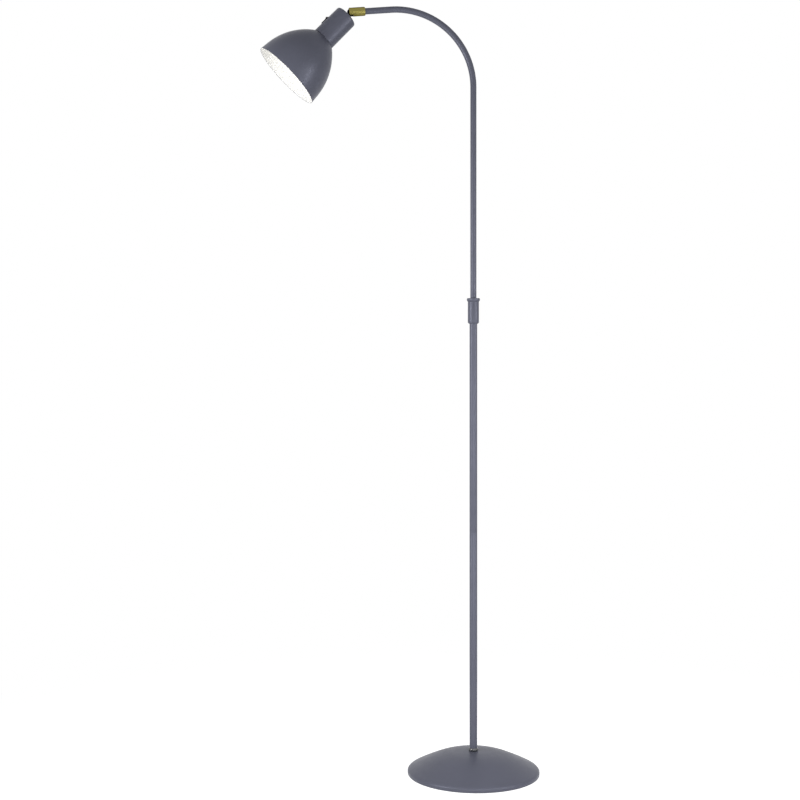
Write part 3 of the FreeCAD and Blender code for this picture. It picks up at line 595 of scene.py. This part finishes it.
baseSizes = {
    "crown": [(0.010, 0), (0.040, 0.00183), (0.080, 0.01236)],  # radius, fall from the top
    "shoulder": (0.0045, 0.00417), "rimHeight": 0.0069, "wall": 0.0012, "hole": 0.005, "arcSteps": 14,
    "turns": 192, "sharpAngle": 28.0,
}


def makeBaseCover(sizes):
    low, high = extent("base_cover")
    inwards, upwards = sizes["shoulder"]
    points = [(radius, high.z - fall) for radius, fall in sizes["crown"]]
    points += [(high.x - inwards, sizes["rimHeight"] + upwards), (high.x, sizes["rimHeight"])]
    line = [(sizes["hole"], high.z)] + smoothArcs(points, 0, sizes["arcSteps"])
    line.append((high.x, low.z + sizes["wall"] / 2))
    cover = lathe("base_cover_sheet", shellOutline(line, sizes["wall"]), turns=sizes["turns"],
                  sharpAngle=sizes["sharpAngle"])
    reach = 2 * inletLength
    hole = [(0, 0), (grommetSizes["outer"], 0), (grommetSizes["outer"], reach), (0, reach)]
    cut(cover, lathe("hole", hole, inletPlace, grommetSizes["turns"], closed=False))
    dress(cover, "stand", "grey_paint", "base_cover")


padSizes = {
    "firstGroove": 0.078, "grooveStep": 0.012, "grooves": 4, "grooveWidth": 0.0016, "grooveDepth": 0.0006,
    "grooveRound": 0.0002, "round": 0.0008, "topRound": 0.0003, "notchGap": 0.002, "turns": 192,
}


def makeFootPad(sizes):
    # A rubber disc with round grooves in its underside and a notch for the cable's way in
    low, high = extent("foot_pad")
    grooveTop, soft = low.z + sizes["grooveDepth"], sizes["grooveRound"]
    outline = [(0, low.z)]
    for index in range(sizes["grooves"]):
        inner = sizes["firstGroove"] + index * sizes["grooveStep"]
        outer = inner + sizes["grooveWidth"]
        outline += [(inner, low.z, soft), (inner, grooveTop), (outer, grooveTop), (outer, low.z, soft)]
    outline += [(high.x, low.z, sizes["round"]), (high.x, high.z, sizes["topRound"]), (0, high.z)]
    pad = lathe("foot_pad_rubber", rounded(outline, steps=3), turns=sizes["turns"])
    gap = sizes["notchGap"]
    notch = block("notch", (inletLow.x - gap, inletLow.y - gap, low.z - gap),
                  (inletHigh.x + gap, high.x + gap, high.z + gap))
    cut(pad, notch)
    dress(pad, "stand", "black_rubber", "foot_pad")


footRingSizes = {"flat": 0.0005, "arcSteps": 20}


def makeFootRing(sizes):
    # A bead with a flat foot and a flat top, and one arc between them
    low, high = extent("foot_ring")
    pole = extent("lower_pole_tube")[1].x
    half = (high.z - low.z) / 2
    bulge = high.x - pole - sizes["flat"]
    radius = (half ** 2 + bulge ** 2) / (2 * bulge)
    reach = math.asin(half / radius)
    outline = [(pole, high.z), (pole, low.z)]
    outline += arc((high.x - radius, low.z + half), radius, -reach, reach, sizes["arcSteps"])
    dress(lathe("foot_ring_gloss", outline), "stand", "black_gloss", "foot_ring")


poleSizes = {"wall": 0.0008, "seamRound": 0.0006}


def makePoleTube(name, cadNode, seamAtTop, sizes):
    # Rounded where the two tubes meet
    low, high = extent(cadNode)
    bore, soft = high.x - sizes["wall"], sizes["seamRound"]
    outline = rounded([
        (bore, low.z), (high.x, low.z, 0 if seamAtTop else soft), (high.x, high.z, soft if seamAtTop else 0),
        (bore, high.z)], steps=4)
    dress(lathe(name, outline), "stand", "grey_paint", cadNode)


makeBaseCover(baseSizes)
makeGrommet(grommetSizes)
makeFootPad(padSizes)
makeFootRing(footRingSizes)
makePoleTube("lower_pole_paint", "lower_pole_tube", True, poleSizes)
makePoleTube("upper_pole_paint", "upper_pole_tube", False, poleSizes)
print("base and pole ready")


# Collar

sleeveSizes = {
    "chamfer": 0.002, "footRound": 0.0005, "chamferRound": 0.001, "topRound": 0.0003, "wall": 0.0016,
    "coneDepth": 0.004,
}


def makeCollarSleeve(sizes):
    low, high = extent("collar_sleeve")
    bore = extent("lower_pole_tube")[1].x
    outline = rounded([
        (bore, low.z), (high.x - sizes["chamfer"], low.z, sizes["footRound"]),
        (high.x, low.z + sizes["chamfer"], sizes["chamferRound"]), (high.x, high.z, sizes["topRound"]),
        (high.x - sizes["wall"], high.z), (bore, high.z - sizes["coneDepth"])])
    dress(lathe("collar_sleeve_paint", outline), "stand", "grey_paint", "collar_sleeve")


nutSizes = {
    "guideWall": 0.0006, "armGap": 0.00025, "seatGap": 0.0001, "footRound": 0.0002, "flange": 0.0039,
    "flangeRound": 0.0006, "lip": 0.0009, "mouth": (0.0015, 0.0008), "mouthRound": 0.0003,
    "boreRound": 0.0002,
}


def makeCollarNut(sizes):
    high = extent("collar_nut")[1]
    sleeveHigh = extent("collar_sleeve")[1]
    bore = -extent("guide_sleeve")[0].x - sizes["guideWall"] + sizes["armGap"]
    bottom = sleeveHigh.z + sizes["seatGap"]
    across, down = sizes["mouth"]
    outline = rounded([
        (bore, bottom), (sleeveHigh.x, bottom, sizes["footRound"]),
        (high.x, high.z - sizes["flange"], sizes["flangeRound"]), (high.x, high.z, sizes["lip"]),
        (bore + across, high.z, sizes["mouthRound"]), (bore, high.z - down, sizes["boreRound"])])
    dress(lathe("collar_nut_paint", outline), "collar_nut", "grey_paint", "collar_nut")


makeCollarSleeve(sleeveSizes)
makeCollarNut(nutSizes)
print("collar ready")


# Arm

armSizes = {"radius": 0.006, "wall": 0.001, "bendRadius": 0.148, "runOut": 0.0507, "rings": 260, "sides": 64}


def makeArm(sizes):
    low, high = extent("arm_tube")
    bendHeight = high.z - sizes["radius"] - sizes["bendRadius"]
    arm = grow("arm_tube_paint", bentTube, {
        "Bottom": low.z, "Run Up": bendHeight - low.z, "Bend Radius": sizes["bendRadius"],
        "Bend Angle": math.atan2(-armAxis.x, armAxis.z), "Run Out": sizes["runOut"],
        "Tube Radius": sizes["radius"], "Rings": sizes["rings"], "Sides": sizes["sides"],
        "Material": materials["satin_grey_paint"]})
    thicken(arm, sizes["wall"])
    dress(arm, "arm", "grey_paint", "arm_tube")


makeArm(armSizes)
print("arm ready")


# Knuckle. Its pieces share a neck, a thread and the groove at the seam of barrel and cap.

kneeSizes = {"neck": 0.004, "thread": 0.0076, "groove": 0.00012, "grooveRound": 0.0001}

barrelSizes = {
    "grooveWidth": 0.0003, "mouthRound": 0.0004, "lip": 0.0064, "lipRound": 0.0003, "bore": 0.00705,
    "boreTop": 0.0012, "boreEnd": -0.008, "threadEnd": -0.0085, "slotGap": 0.0006, "slotOverrun": 0.002,
    "slotSteps": 18, "beyond": 0.002, "edge": 0.00022,
}


def makeBarrel(sizes):
    # A tube round the ball, with the slot that the ball's neck swings into
    low, high = extent("knuckle_barrel", kneePlace)
    radius, thread, groove = high.y, kneeSizes["thread"], kneeSizes["grooveRound"]
    outline = rounded([
        (thread, low.z), (radius - kneeSizes["groove"], low.z, groove),
        (radius, low.z + sizes["grooveWidth"], groove), (radius, high.z, sizes["mouthRound"]),
        (sizes["lip"], high.z, sizes["lipRound"]), (sizes["bore"], sizes["boreTop"]),
        (sizes["bore"], sizes["boreEnd"]), (thread, sizes["threadEnd"])])
    barrel = lathe("knuckle_barrel_brass", outline, kneePlace)
    half = kneeSizes["neck"] + sizes["slotGap"]
    top = high.z + sizes["beyond"]
    width = radius + sizes["beyond"]
    slot = arc((0, -sizes["slotOverrun"]), half, -math.pi, 0, sizes["slotSteps"])
    slot += [(half, top), (-half, top)]
    across = Matrix.Translation((-width / 2, 0, 0)) @ Matrix.Rotation(math.pi / 2, 4, "Z")
    cut(barrel, extruded("slot", slot, width / 2, kneePlace @ across))
    softenEdges(barrel, sizes["edge"], steps=2)
    dress(barrel, "knuckle", "polished_brass", "knuckle_barrel", finish=["lacquered_brass"])


endCapSizes = {
    "hole": 0.00405, "chamferLength": 0.002, "chamferDepth": 0.0008, "faceRound": 0.0002,
    "chamferRound": 0.0003, "grooveWidth": 0.00025, "threadWall": 0.001,
}


def makeEndCap(sizes):
    low, high = extent("knuckle_end_cap", kneePlace)
    seam = extent("knuckle_barrel", kneePlace)[0].z
    radius, thread, groove = high.y, kneeSizes["thread"], kneeSizes["grooveRound"]
    inner = thread - sizes["threadWall"]
    outline = rounded([
        (sizes["hole"], low.z), (radius - sizes["chamferDepth"], low.z, sizes["faceRound"]),
        (radius, low.z + sizes["chamferLength"], sizes["chamferRound"]),
        (radius, seam - sizes["grooveWidth"], groove), (radius - kneeSizes["groove"], seam, groove),
        (thread, seam), (thread, high.z), (inner, high.z), (inner, seam), (sizes["hole"], seam)])
    cap = lathe("knuckle_end_cap_brass", outline, kneePlace)
    dress(cap, "knuckle", "polished_brass", "knuckle_end_cap", finish=["lacquered_brass"])


ballSizes = {
    "radius": 0.007, "bore": 0.0026, "stem": 0.005, "disc": 0.007, "discHeight": 0.0013, "chamfer": 0.0004,
    "steps": 32, "turns": 64,
}


def makeBall(sizes):
    # The ball with its neck, the disc that rests on the cup and the stem inside it
    bottom = extent("knuckle_ball", headPlace)[0].z
    cupTop = extent("holder_cup", headPlace)[1].z
    discTop = cupTop + sizes["discHeight"]
    radius, bore, stem, neck = sizes["radius"], sizes["bore"], sizes["stem"], kneeSizes["neck"]
    disc, chamfer = sizes["disc"], sizes["chamfer"]
    outline = [
        (bore, bottom), (stem, bottom), (stem, cupTop), (disc - chamfer, cupTop), (disc, cupTop + chamfer),
        (disc, discTop - chamfer), (disc - chamfer, discTop), (neck + chamfer, discTop),
        (neck, discTop + chamfer)]
    outline += arc((0, 0), radius, -math.acos(neck / radius), math.acos(bore / radius), sizes["steps"])
    ball = lathe("knuckle_ball_steel", outline, headPlace, sizes["turns"])
    dress(ball, "ball", "black_steel", "knuckle_ball")


makeBarrel(barrelSizes)
makeEndCap(endCapSizes)
makeBall(ballSizes)
print("knuckle ready")


# Lampholder cup and switch

switchSizes = {
    "length": 0.015, "width": 0.008, "gap": 0.0002, "bezel": 0.001, "bezelRound": 0.00015, "back": 0.001,
    "beyond": 0.002, "angle": 10.0, "thickness": 0.0025, "faceGap": 0.0001, "dish": 0.00035, "dishSteps": 12,
    "edge": 0.0003, "edgeAngle": 50.0,
}


def switchOpening(sizes, rim=0):
    # Half the width and both ends of the rocker's hole, or of the hole with a rim round it
    low, high = extent("switch_body", headPlace)
    middle = (low.z + high.z) / 2
    half = sizes["width"] / 2 + sizes["gap"] + rim
    reach = sizes["length"] / 2 + sizes["gap"] + rim
    return half, middle - reach, middle + reach


cupSizes = {
    "mouthRadius": 0.0233, "topRadius": 0.0227, "wall": 0.0012, "corner": 0.004, "cornerSteps": 12,
    "stemHole": 0.00505, "stemRound": 0.0002, "mouthRound": 0.0003, "reveal": 0.0007, "windowOut": 0.005,
    "windowIn": 0.6, "turns": 144,
}


def makeCup(sizes):
    low, high = extent("holder_cup", headPlace)
    wall, mouth, top = sizes["wall"], sizes["mouthRadius"], sizes["topRadius"]
    corner, stem, under = sizes["corner"], sizes["stemHole"], high.z - wall
    inset = mouth - sizes["reveal"]
    ledge = low.z + sizes["reveal"]
    outline = rounded([
        (mouth - wall, low.z), (inset, low.z), (inset, ledge), (mouth, ledge, sizes["mouthRound"]),
        (top, high.z, corner), (stem, high.z, sizes["stemRound"]), (stem, under),
        (top - wall, under, corner - wall)], sizes["cornerSteps"])
    cup = lathe("holder_cup_paint", outline, headPlace, sizes["turns"])
    half, start, end = switchOpening(switchSizes, switchSizes["bezel"])
    window = block("window", (-mouth - sizes["windowOut"], -half, start),
                   (-mouth * sizes["windowIn"], half, end), headPlace)
    cut(cup, window)
    dress(cup, "head", "grey_paint", "holder_cup")


def makeSwitchBody(sizes):
    low, high = extent("switch_body", headPlace)
    half, start, end = switchOpening(sizes, sizes["bezel"])
    bezel = block("switch_frame_plastic", (low.x, -half, start), (high.x, half, end), headPlace)
    half, start, end = switchOpening(sizes)
    hollow = block("hollow", (low.x - sizes["beyond"], -half, start), (high.x - sizes["back"], half, end),
                   headPlace)
    cut(bezel, hollow)
    softenEdges(bezel, sizes["bezelRound"])
    dress(bezel, "head", "switch_plastic", "switch_body")


def makeRocker(sizes):
    # Drawn level, then tilted so that the end nearer the cup's top stands up
    low, high = extent("switch_body", headPlace)
    pivot = headPlace.inverted() @ Vector(joints["rocker_press"]["pos_m"])
    half, steps, tilt = sizes["length"] / 2, sizes["dishSteps"], math.radians(sizes["angle"])
    surface = low.x + sizes["faceGap"] - pivot.x
    outline = []
    for step in range(-steps, steps + 1):
        share = abs(step) / steps
        lift = half * math.tan(tilt) * share - sizes["dish"] * math.sin(math.pi * share)
        outline.append((surface - lift, half * step / steps))
    outline += [(surface + sizes["thickness"], half), (surface + sizes["thickness"], -half)]
    middle = Matrix.Translation((pivot.x, 0, (low.z + high.z) / 2))
    place = headPlace @ middle @ Matrix.Rotation(-tilt, 4, "Y")
    rocker = extruded("switch_rocker_plastic", outline, sizes["width"] / 2, place)
    softenEdges(rocker, sizes["edge"], angle=sizes["edgeAngle"])
    dress(rocker, "rocker", "switch_plastic", "switch_rocker")


makeCup(cupSizes)
makeSwitchBody(switchSizes)
makeRocker(switchSizes)
print("cup and switch ready")


# Shade

shadeSizes = {
    "neckRadius": 0.02375, "mouthRadius": 0.0696, "lip": 0.017, "lipSlope": 84.9, "wall": 0.0008,
    "neckRound": 0.0008, "land": 0.01995, "taper": 0.00003, "arcSteps": 40, "edgeSteps": 6, "turns": 192,
    "sharpAngle": 40.0,
}


def makeShade(sizes):
    # One arc from the neck that runs smoothly into a straight lip, white on its inside
    low, high = extent("shade", headPlace)
    neck, mouth, slope = sizes["neckRadius"], sizes["mouthRadius"], math.radians(sizes["lipSlope"])
    lipTop = (mouth - sizes["lip"] / math.tan(slope), low.z + sizes["lip"])
    chord = math.atan2(high.z - lipTop[1], lipTop[0] - neck)
    dome = smoothArcs([(neck, high.z), lipTop], math.degrees(2 * chord - slope), sizes["arcSteps"])
    line = [(sizes["land"], high.z), (neck - sizes["neckRound"], high.z)] + dome[1:]
    line.append((mouth - sizes["taper"], low.z + sizes["wall"] / 2))
    outline = shellOutline(line, sizes["wall"], sizes["edgeSteps"])
    spun = lathe("shade_spun_metal", outline, headPlace, sizes["turns"],
                 innerFrom=len(line) + sizes["edgeSteps"] - 1, sharpAngle=sizes["sharpAngle"])
    dress(spun, "head", "shade_paint", "shade", finish=["satin_grey_paint", "white_enamel"])


ringSizes = {
    "bore": 0.0199, "round": 0.0005, "edge": 0.0003, "ribs": 36, "ribRadius": 0.0009, "ribSides": 12,
    "ribSunk": 0.35, "ribMargin": 0.07,  # shares of the rib's radius and of the ring's height
}


def makeShadeRing(sizes):
    low, high = extent("shade_ring", headPlace)
    bore, edge, height = sizes["bore"], sizes["edge"], high.z - low.z
    outline = rounded([
        (bore, low.z, edge), (high.y, low.z, sizes["round"]), (high.y, high.z, edge), (bore, high.z)])
    dress(lathe("shade_ring_plastic", outline, headPlace), "head", "holder_plastic", "shade_ring")
    ribs = grow("shade_ring_grips", ringOfRibs, {
        "Count": sizes["ribs"], "Circle": high.y - sizes["ribRadius"] * sizes["ribSunk"],
        "Rib Radius": sizes["ribRadius"], "Rib Height": height * (1 - 2 * sizes["ribMargin"]),
        "Bottom": low.z + height * sizes["ribMargin"], "Sides": sizes["ribSides"],
        "Material": materials["black_holder_plastic"]}, headPlace)
    dress(ribs, "head", "holder_plastic")


makeShade(shadeSizes)
makeShadeRing(ringSizes)
print("shade ready")


# Lampholder and bulb

bulbPitch = 0.0036
threads = {
    "skirt": {"Depth": 0.0006, "Pitch": 0.002, "Runout": 0.001, "Rows": 80, "Sides": 128},
    "shell": {"Depth": 0.0003, "Pitch": bulbPitch, "Runout": 0.002, "Rows": 90, "Sides": 96},
    "cap": {"Depth": 0.0008, "Pitch": bulbPitch, "Runout": 0.003, "Rows": 90, "Sides": 96},
}
threadSharpFrom = 60.0


def threadedSleeve(name, thread, low, high, radius, wall, finish):
    # A thin sleeve with a thread rolled through its wall
    sleeve = grow(name, rolledThread, threads[thread] | {
        "Bottom": low, "Length": high - low, "Radius": radius, "Material": materials[finish]},
        headPlace, threadSharpFrom)
    thicken(sleeve, wall, threadSharpFrom)
    return sleeve


holderSizes = {
    "upperRadius": 0.0175, "step": 0.022, "threadRadius": 0.0199, "rootRadius": 0.01925, "flange": 0.002,
    "cavity": 0.0139, "floor": 0.006, "wiringRadius": 0.012, "rivetRadius": 0.0015, "round": 0.0005,
    "roundSteps": 4, "gap": 0.0001, "shellWall": 0.00015, "turns": 128,
}


def makeHolder(sizes):
    # The lampholder's moulded body with its threaded skirt, cut away beside the switch
    low, high = extent("lampholder_body", headPlace)
    shellLow, shellHigh = extent("socket_shell", headPlace)
    cupMouth = extent("holder_cup", headPlace)[0].z
    step = high.z - sizes["step"]
    floor = shellHigh.z + sizes["floor"]
    flangeTop = cupMouth + sizes["flange"]
    upper, root, thread = sizes["upperRadius"], sizes["rootRadius"], sizes["threadRadius"]
    cavity, wiring, rivet = sizes["cavity"], sizes["wiringRadius"], sizes["rivetRadius"]
    edge = sizes["round"]
    outline = rounded([
        (cavity, low.z, edge), (root, low.z, edge), (root, cupMouth), (high.y, cupMouth, edge),
        (high.y, flangeTop, edge), (thread, flangeTop), (thread, step, edge), (upper, step),
        (upper, high.z, edge), (wiring, high.z), (wiring, floor), (rivet, floor), (rivet, shellHigh.z),
        (cavity, shellHigh.z)], sizes["roundSteps"])
    body = lathe("lampholder_body_moulded", outline, headPlace, sizes["turns"])
    switchLow, switchHigh = extent("switch_body", headPlace)
    gap, wide = sizes["gap"], 2 * high.y
    cut(body, block("room", (-wide, -wide, switchLow.z - gap),
                    (switchHigh.x + gap, wide, switchHigh.z + gap), headPlace))
    dress(body, "head", "holder_plastic", "lampholder_body")
    skirt = threadedSleeve("lampholder_thread", "skirt", low.z + gap, cupMouth - gap, thread, thread - root,
                           "black_holder_plastic")
    dress(skirt, "head", "holder_plastic")
    shell = threadedSleeve("socket_shell_thread", "shell", shellLow.z, shellHigh.z, shellHigh.y,
                           sizes["shellWall"], "rolled_brass")
    dress(shell, "head", "polished_brass", "socket_shell")


bulbSizes = {
    "radius": 0.030, "glassWall": 0.0008, "neckLength": 0.003, "neckSteps": 14, "ballSteps": 40,
    "capRadius": 0.0132, "capWall": 0.0003,
}


def bulbLine(sizes, tip, capEnd):
    # The glass from its neck to its tip: a flare that runs into a ball
    radius = sizes["radius"]
    neck = sizes["capRadius"] - sizes["capWall"]
    centre = tip + radius
    reach = capEnd - centre
    flare = (reach ** 2 + neck ** 2 - radius ** 2) / (2 * (radius - neck))
    meeting = math.atan2(reach, neck + flare)
    line = [(neck, capEnd + sizes["neckLength"])]
    line += arc((neck + flare, capEnd), flare, math.pi, math.pi + meeting, sizes["neckSteps"])
    line += arc((0, centre), radius, meeting, -math.pi / 2, sizes["ballSteps"])[1:-1]
    return line + [(0, tip)]


def makeBulb(sizes):
    tip = extent("bulb_glass", headPlace)[0].z
    capLow, capHigh = extent("bulb_cap", headPlace)
    glass = lathe("bulb_glass_opal", bulbLine(sizes, tip, capLow.z), headPlace, closed=False)
    thicken(glass, sizes["glassWall"])
    dress(glass, "bulb", "opal_glass", "bulb_glass")
    cap = threadedSleeve("bulb_cap_thread", "cap", capLow.z, capHigh.z, sizes["capRadius"], sizes["capWall"],
                         "rolled_cap_metal")
    dress(cap, "bulb", "cap_metal", "bulb_cap")


bulbFootSizes = {
    "coneTop": 0.006, "capRound": 0.0003, "coneRound": 0.0008, "coneTurns": 64, "buttonEdge": 0.3,
    "buttonSteps": 8, "buttonTurns": 48,
}


def makeBulbFoot(sizes):
    # The black glass cone that closes the screw cap, and the soldered contact on it
    low, high = extent("bulb_insulator", headPlace)
    capTop = extent("bulb_cap", headPlace)[1].z
    inner = bulbSizes["capRadius"] - bulbSizes["capWall"]
    outline = rounded([
        (0, low.z), (inner, low.z), (inner, capTop), (bulbSizes["capRadius"], capTop, sizes["capRound"]),
        (sizes["coneTop"], high.z, sizes["coneRound"]), (0, high.z)])
    cone = lathe("bulb_insulator_glass", outline, headPlace, sizes["coneTurns"])
    dress(cone, "bulb", "black_gloss", "bulb_insulator")
    low, high = extent("bulb_contact", headPlace)
    edge = low.z + sizes["buttonEdge"] * (high.z - low.z)
    outline = [(0, low.z), (high.y, low.z)]
    for across, up in arc((0, 0), 1, 0, math.pi / 2, sizes["buttonSteps"]):
        outline.append((high.y * across, edge + (high.z - edge) * up))
    button = lathe("bulb_contact_solder", outline, headPlace, sizes["buttonTurns"])
    dress(button, "bulb", "cap_metal", "bulb_contact")


makeHolder(holderSizes)
makeBulb(bulbSizes)
makeBulbFoot(bulbFootSizes)
print("lampholder and bulb ready")


# Studio

cameraSizes = {"place": (-0.3721, -2.4112, 0.7297), "turn": -5.4, "lens": 56.04, "sensor": 36.0}
strip = {"distance": 1.3, "height": 0.8, "aim": 0.8, "width": 0.12, "length": 1.0}
softbox = {"distance": 1.4, "height": 1.2, "aim": 0.5, "width": 0.6, "length": 0.5}
footLight = {"distance": 1.0, "height": 0.55, "aim": 0.0, "width": 0.6, "length": 0.4}
lampSizes = {
    "stripLeft": {"angle": -62.0, "power": 7.7, **strip},
    "stripRight": {"angle": 62.0, "power": 6.3, **strip},
    "highLeft": {"angle": -45.0, "power": 4.5, **softbox},
    "highRight": {"angle": 45.0, "power": 2.0, **softbox},
    "foot": {"angle": 10.0, "power": 3.8, **footLight},
}
studioSizes = {
    "ambient": 0.35, "overhead": 0.06, "overheadFrom": 0.1, "overheadAt": 0.8, "floorColor": 0.82,
    "floorLift": 0.8, "fadeStart": 0.35, "fadeEnd": 1.3, "floorRadius": 7.0, "floorTurns": 64,
}
white = (1, 1, 1, 1)


def makeCamera(sizes):
    camera = addObject("camera", bpy.data.cameras.new("camera"))
    camera.location = sizes["place"]
    camera.rotation_euler = (math.pi / 2, 0, math.radians(sizes["turn"]))
    camera.data.lens = sizes["lens"]
    camera.data.sensor_width = sizes["sensor"]
    bpy.context.scene.camera = camera


def makeLamps(sizes):
    toCamera = Vector(cameraSizes["place"]).to_2d().normalized()
    for name, lamp in sizes.items():
        light = bpy.data.lights.new(name, "AREA")
        light.shape = "RECTANGLE"
        light.size = lamp["width"]
        light.size_y = lamp["length"]
        light.energy = lamp["power"]
        holder = addObject(name, light)
        side = Matrix.Rotation(math.radians(lamp["angle"]), 2) @ toCamera * lamp["distance"]
        holder.location = (side.x, side.y, lamp["height"])
        aim = Vector((0, 0, lamp["aim"])) - holder.location
        holder.rotation_euler = aim.to_track_quat("-Z", "Y").to_euler()
        holder.visible_camera = False


def emptyTree(owner):
    owner.use_nodes = True
    owner.node_tree.nodes.clear()
    return owner.node_tree


def seenDirectly(tree):
    # 1 for what the camera, a reflection or glass sees
    path = node(tree, "ShaderNodeLightPath").outputs
    seen = reckon(tree, "MAXIMUM", path["Is Camera Ray"], path["Is Glossy Ray"])
    return reckon(tree, "MAXIMUM", seen, path["Is Transmission Ray"])


def makeWorld(sizes):
    # White where it is seen, and a softer light with less from above for the surfaces
    world = bpy.data.worlds.new("studio")
    tree = emptyTree(world)
    way = node(tree, "ShaderNodeTexCoord").outputs["Generated"]
    up = node(tree, "ShaderNodeSeparateXYZ", {0: way}).outputs["Z"]
    level = spread(tree, up, sizes["ambient"], sizes["overhead"], sizes["overheadFrom"], sizes["overheadAt"])
    soft = node(tree, "ShaderNodeBackground", {"Color": white, "Strength": level})
    plain = node(tree, "ShaderNodeBackground", {"Color": white, "Strength": 1.0})
    mixed = node(tree, "ShaderNodeMixShader", {0: seenDirectly(tree), 1: soft, 2: plain})
    node(tree, "ShaderNodeOutputWorld", {"Surface": mixed})
    bpy.context.scene.world = world


def makeFloor(sizes):
    # A pale floor that fades into the white backdrop away from the object and keeps its shadow
    material = bpy.data.materials.new("pale_floor")
    tree = emptyTree(material)
    matte = node(tree, "ShaderNodeBsdfDiffuse", {"Color": (*(sizes["floorColor"],) * 3, 1)})
    lift = node(tree, "ShaderNodeEmission", {"Color": white, "Strength": sizes["floorLift"]})
    plain = node(tree, "ShaderNodeEmission", {"Color": white, "Strength": 1.0})
    lifted = node(tree, "ShaderNodeAddShader", {0: matte, 1: lift})
    where = node(tree, "ShaderNodeTexCoord").outputs["Object"]
    away = node(tree, "ShaderNodeVectorMath", {0: where}, operation="LENGTH").outputs["Value"]
    fade = node(tree, "ShaderNodeMapRange", {
        "Value": away, "From Min": sizes["fadeStart"], "From Max": sizes["fadeEnd"]},
        interpolation_type="SMOOTHSTEP")
    faded = node(tree, "ShaderNodeMixShader", {0: fade, 1: lifted, 2: plain})
    shown = node(tree, "ShaderNodeMixShader", {0: seenDirectly(tree), 1: matte, 2: faded})
    node(tree, "ShaderNodeOutputMaterial", {"Surface": shown})
    floor = lathe("floor", [(0, 0), (sizes["floorRadius"], 0)], turns=sizes["floorTurns"], closed=False)
    floor.data.materials.append(material)


bpy.context.scene.view_settings.view_transform = "Standard"
makeCamera(cameraSizes)
makeLamps(lampSizes)
makeWorld(studioSizes)
makeFloor(studioSizes)
print("studio ready")
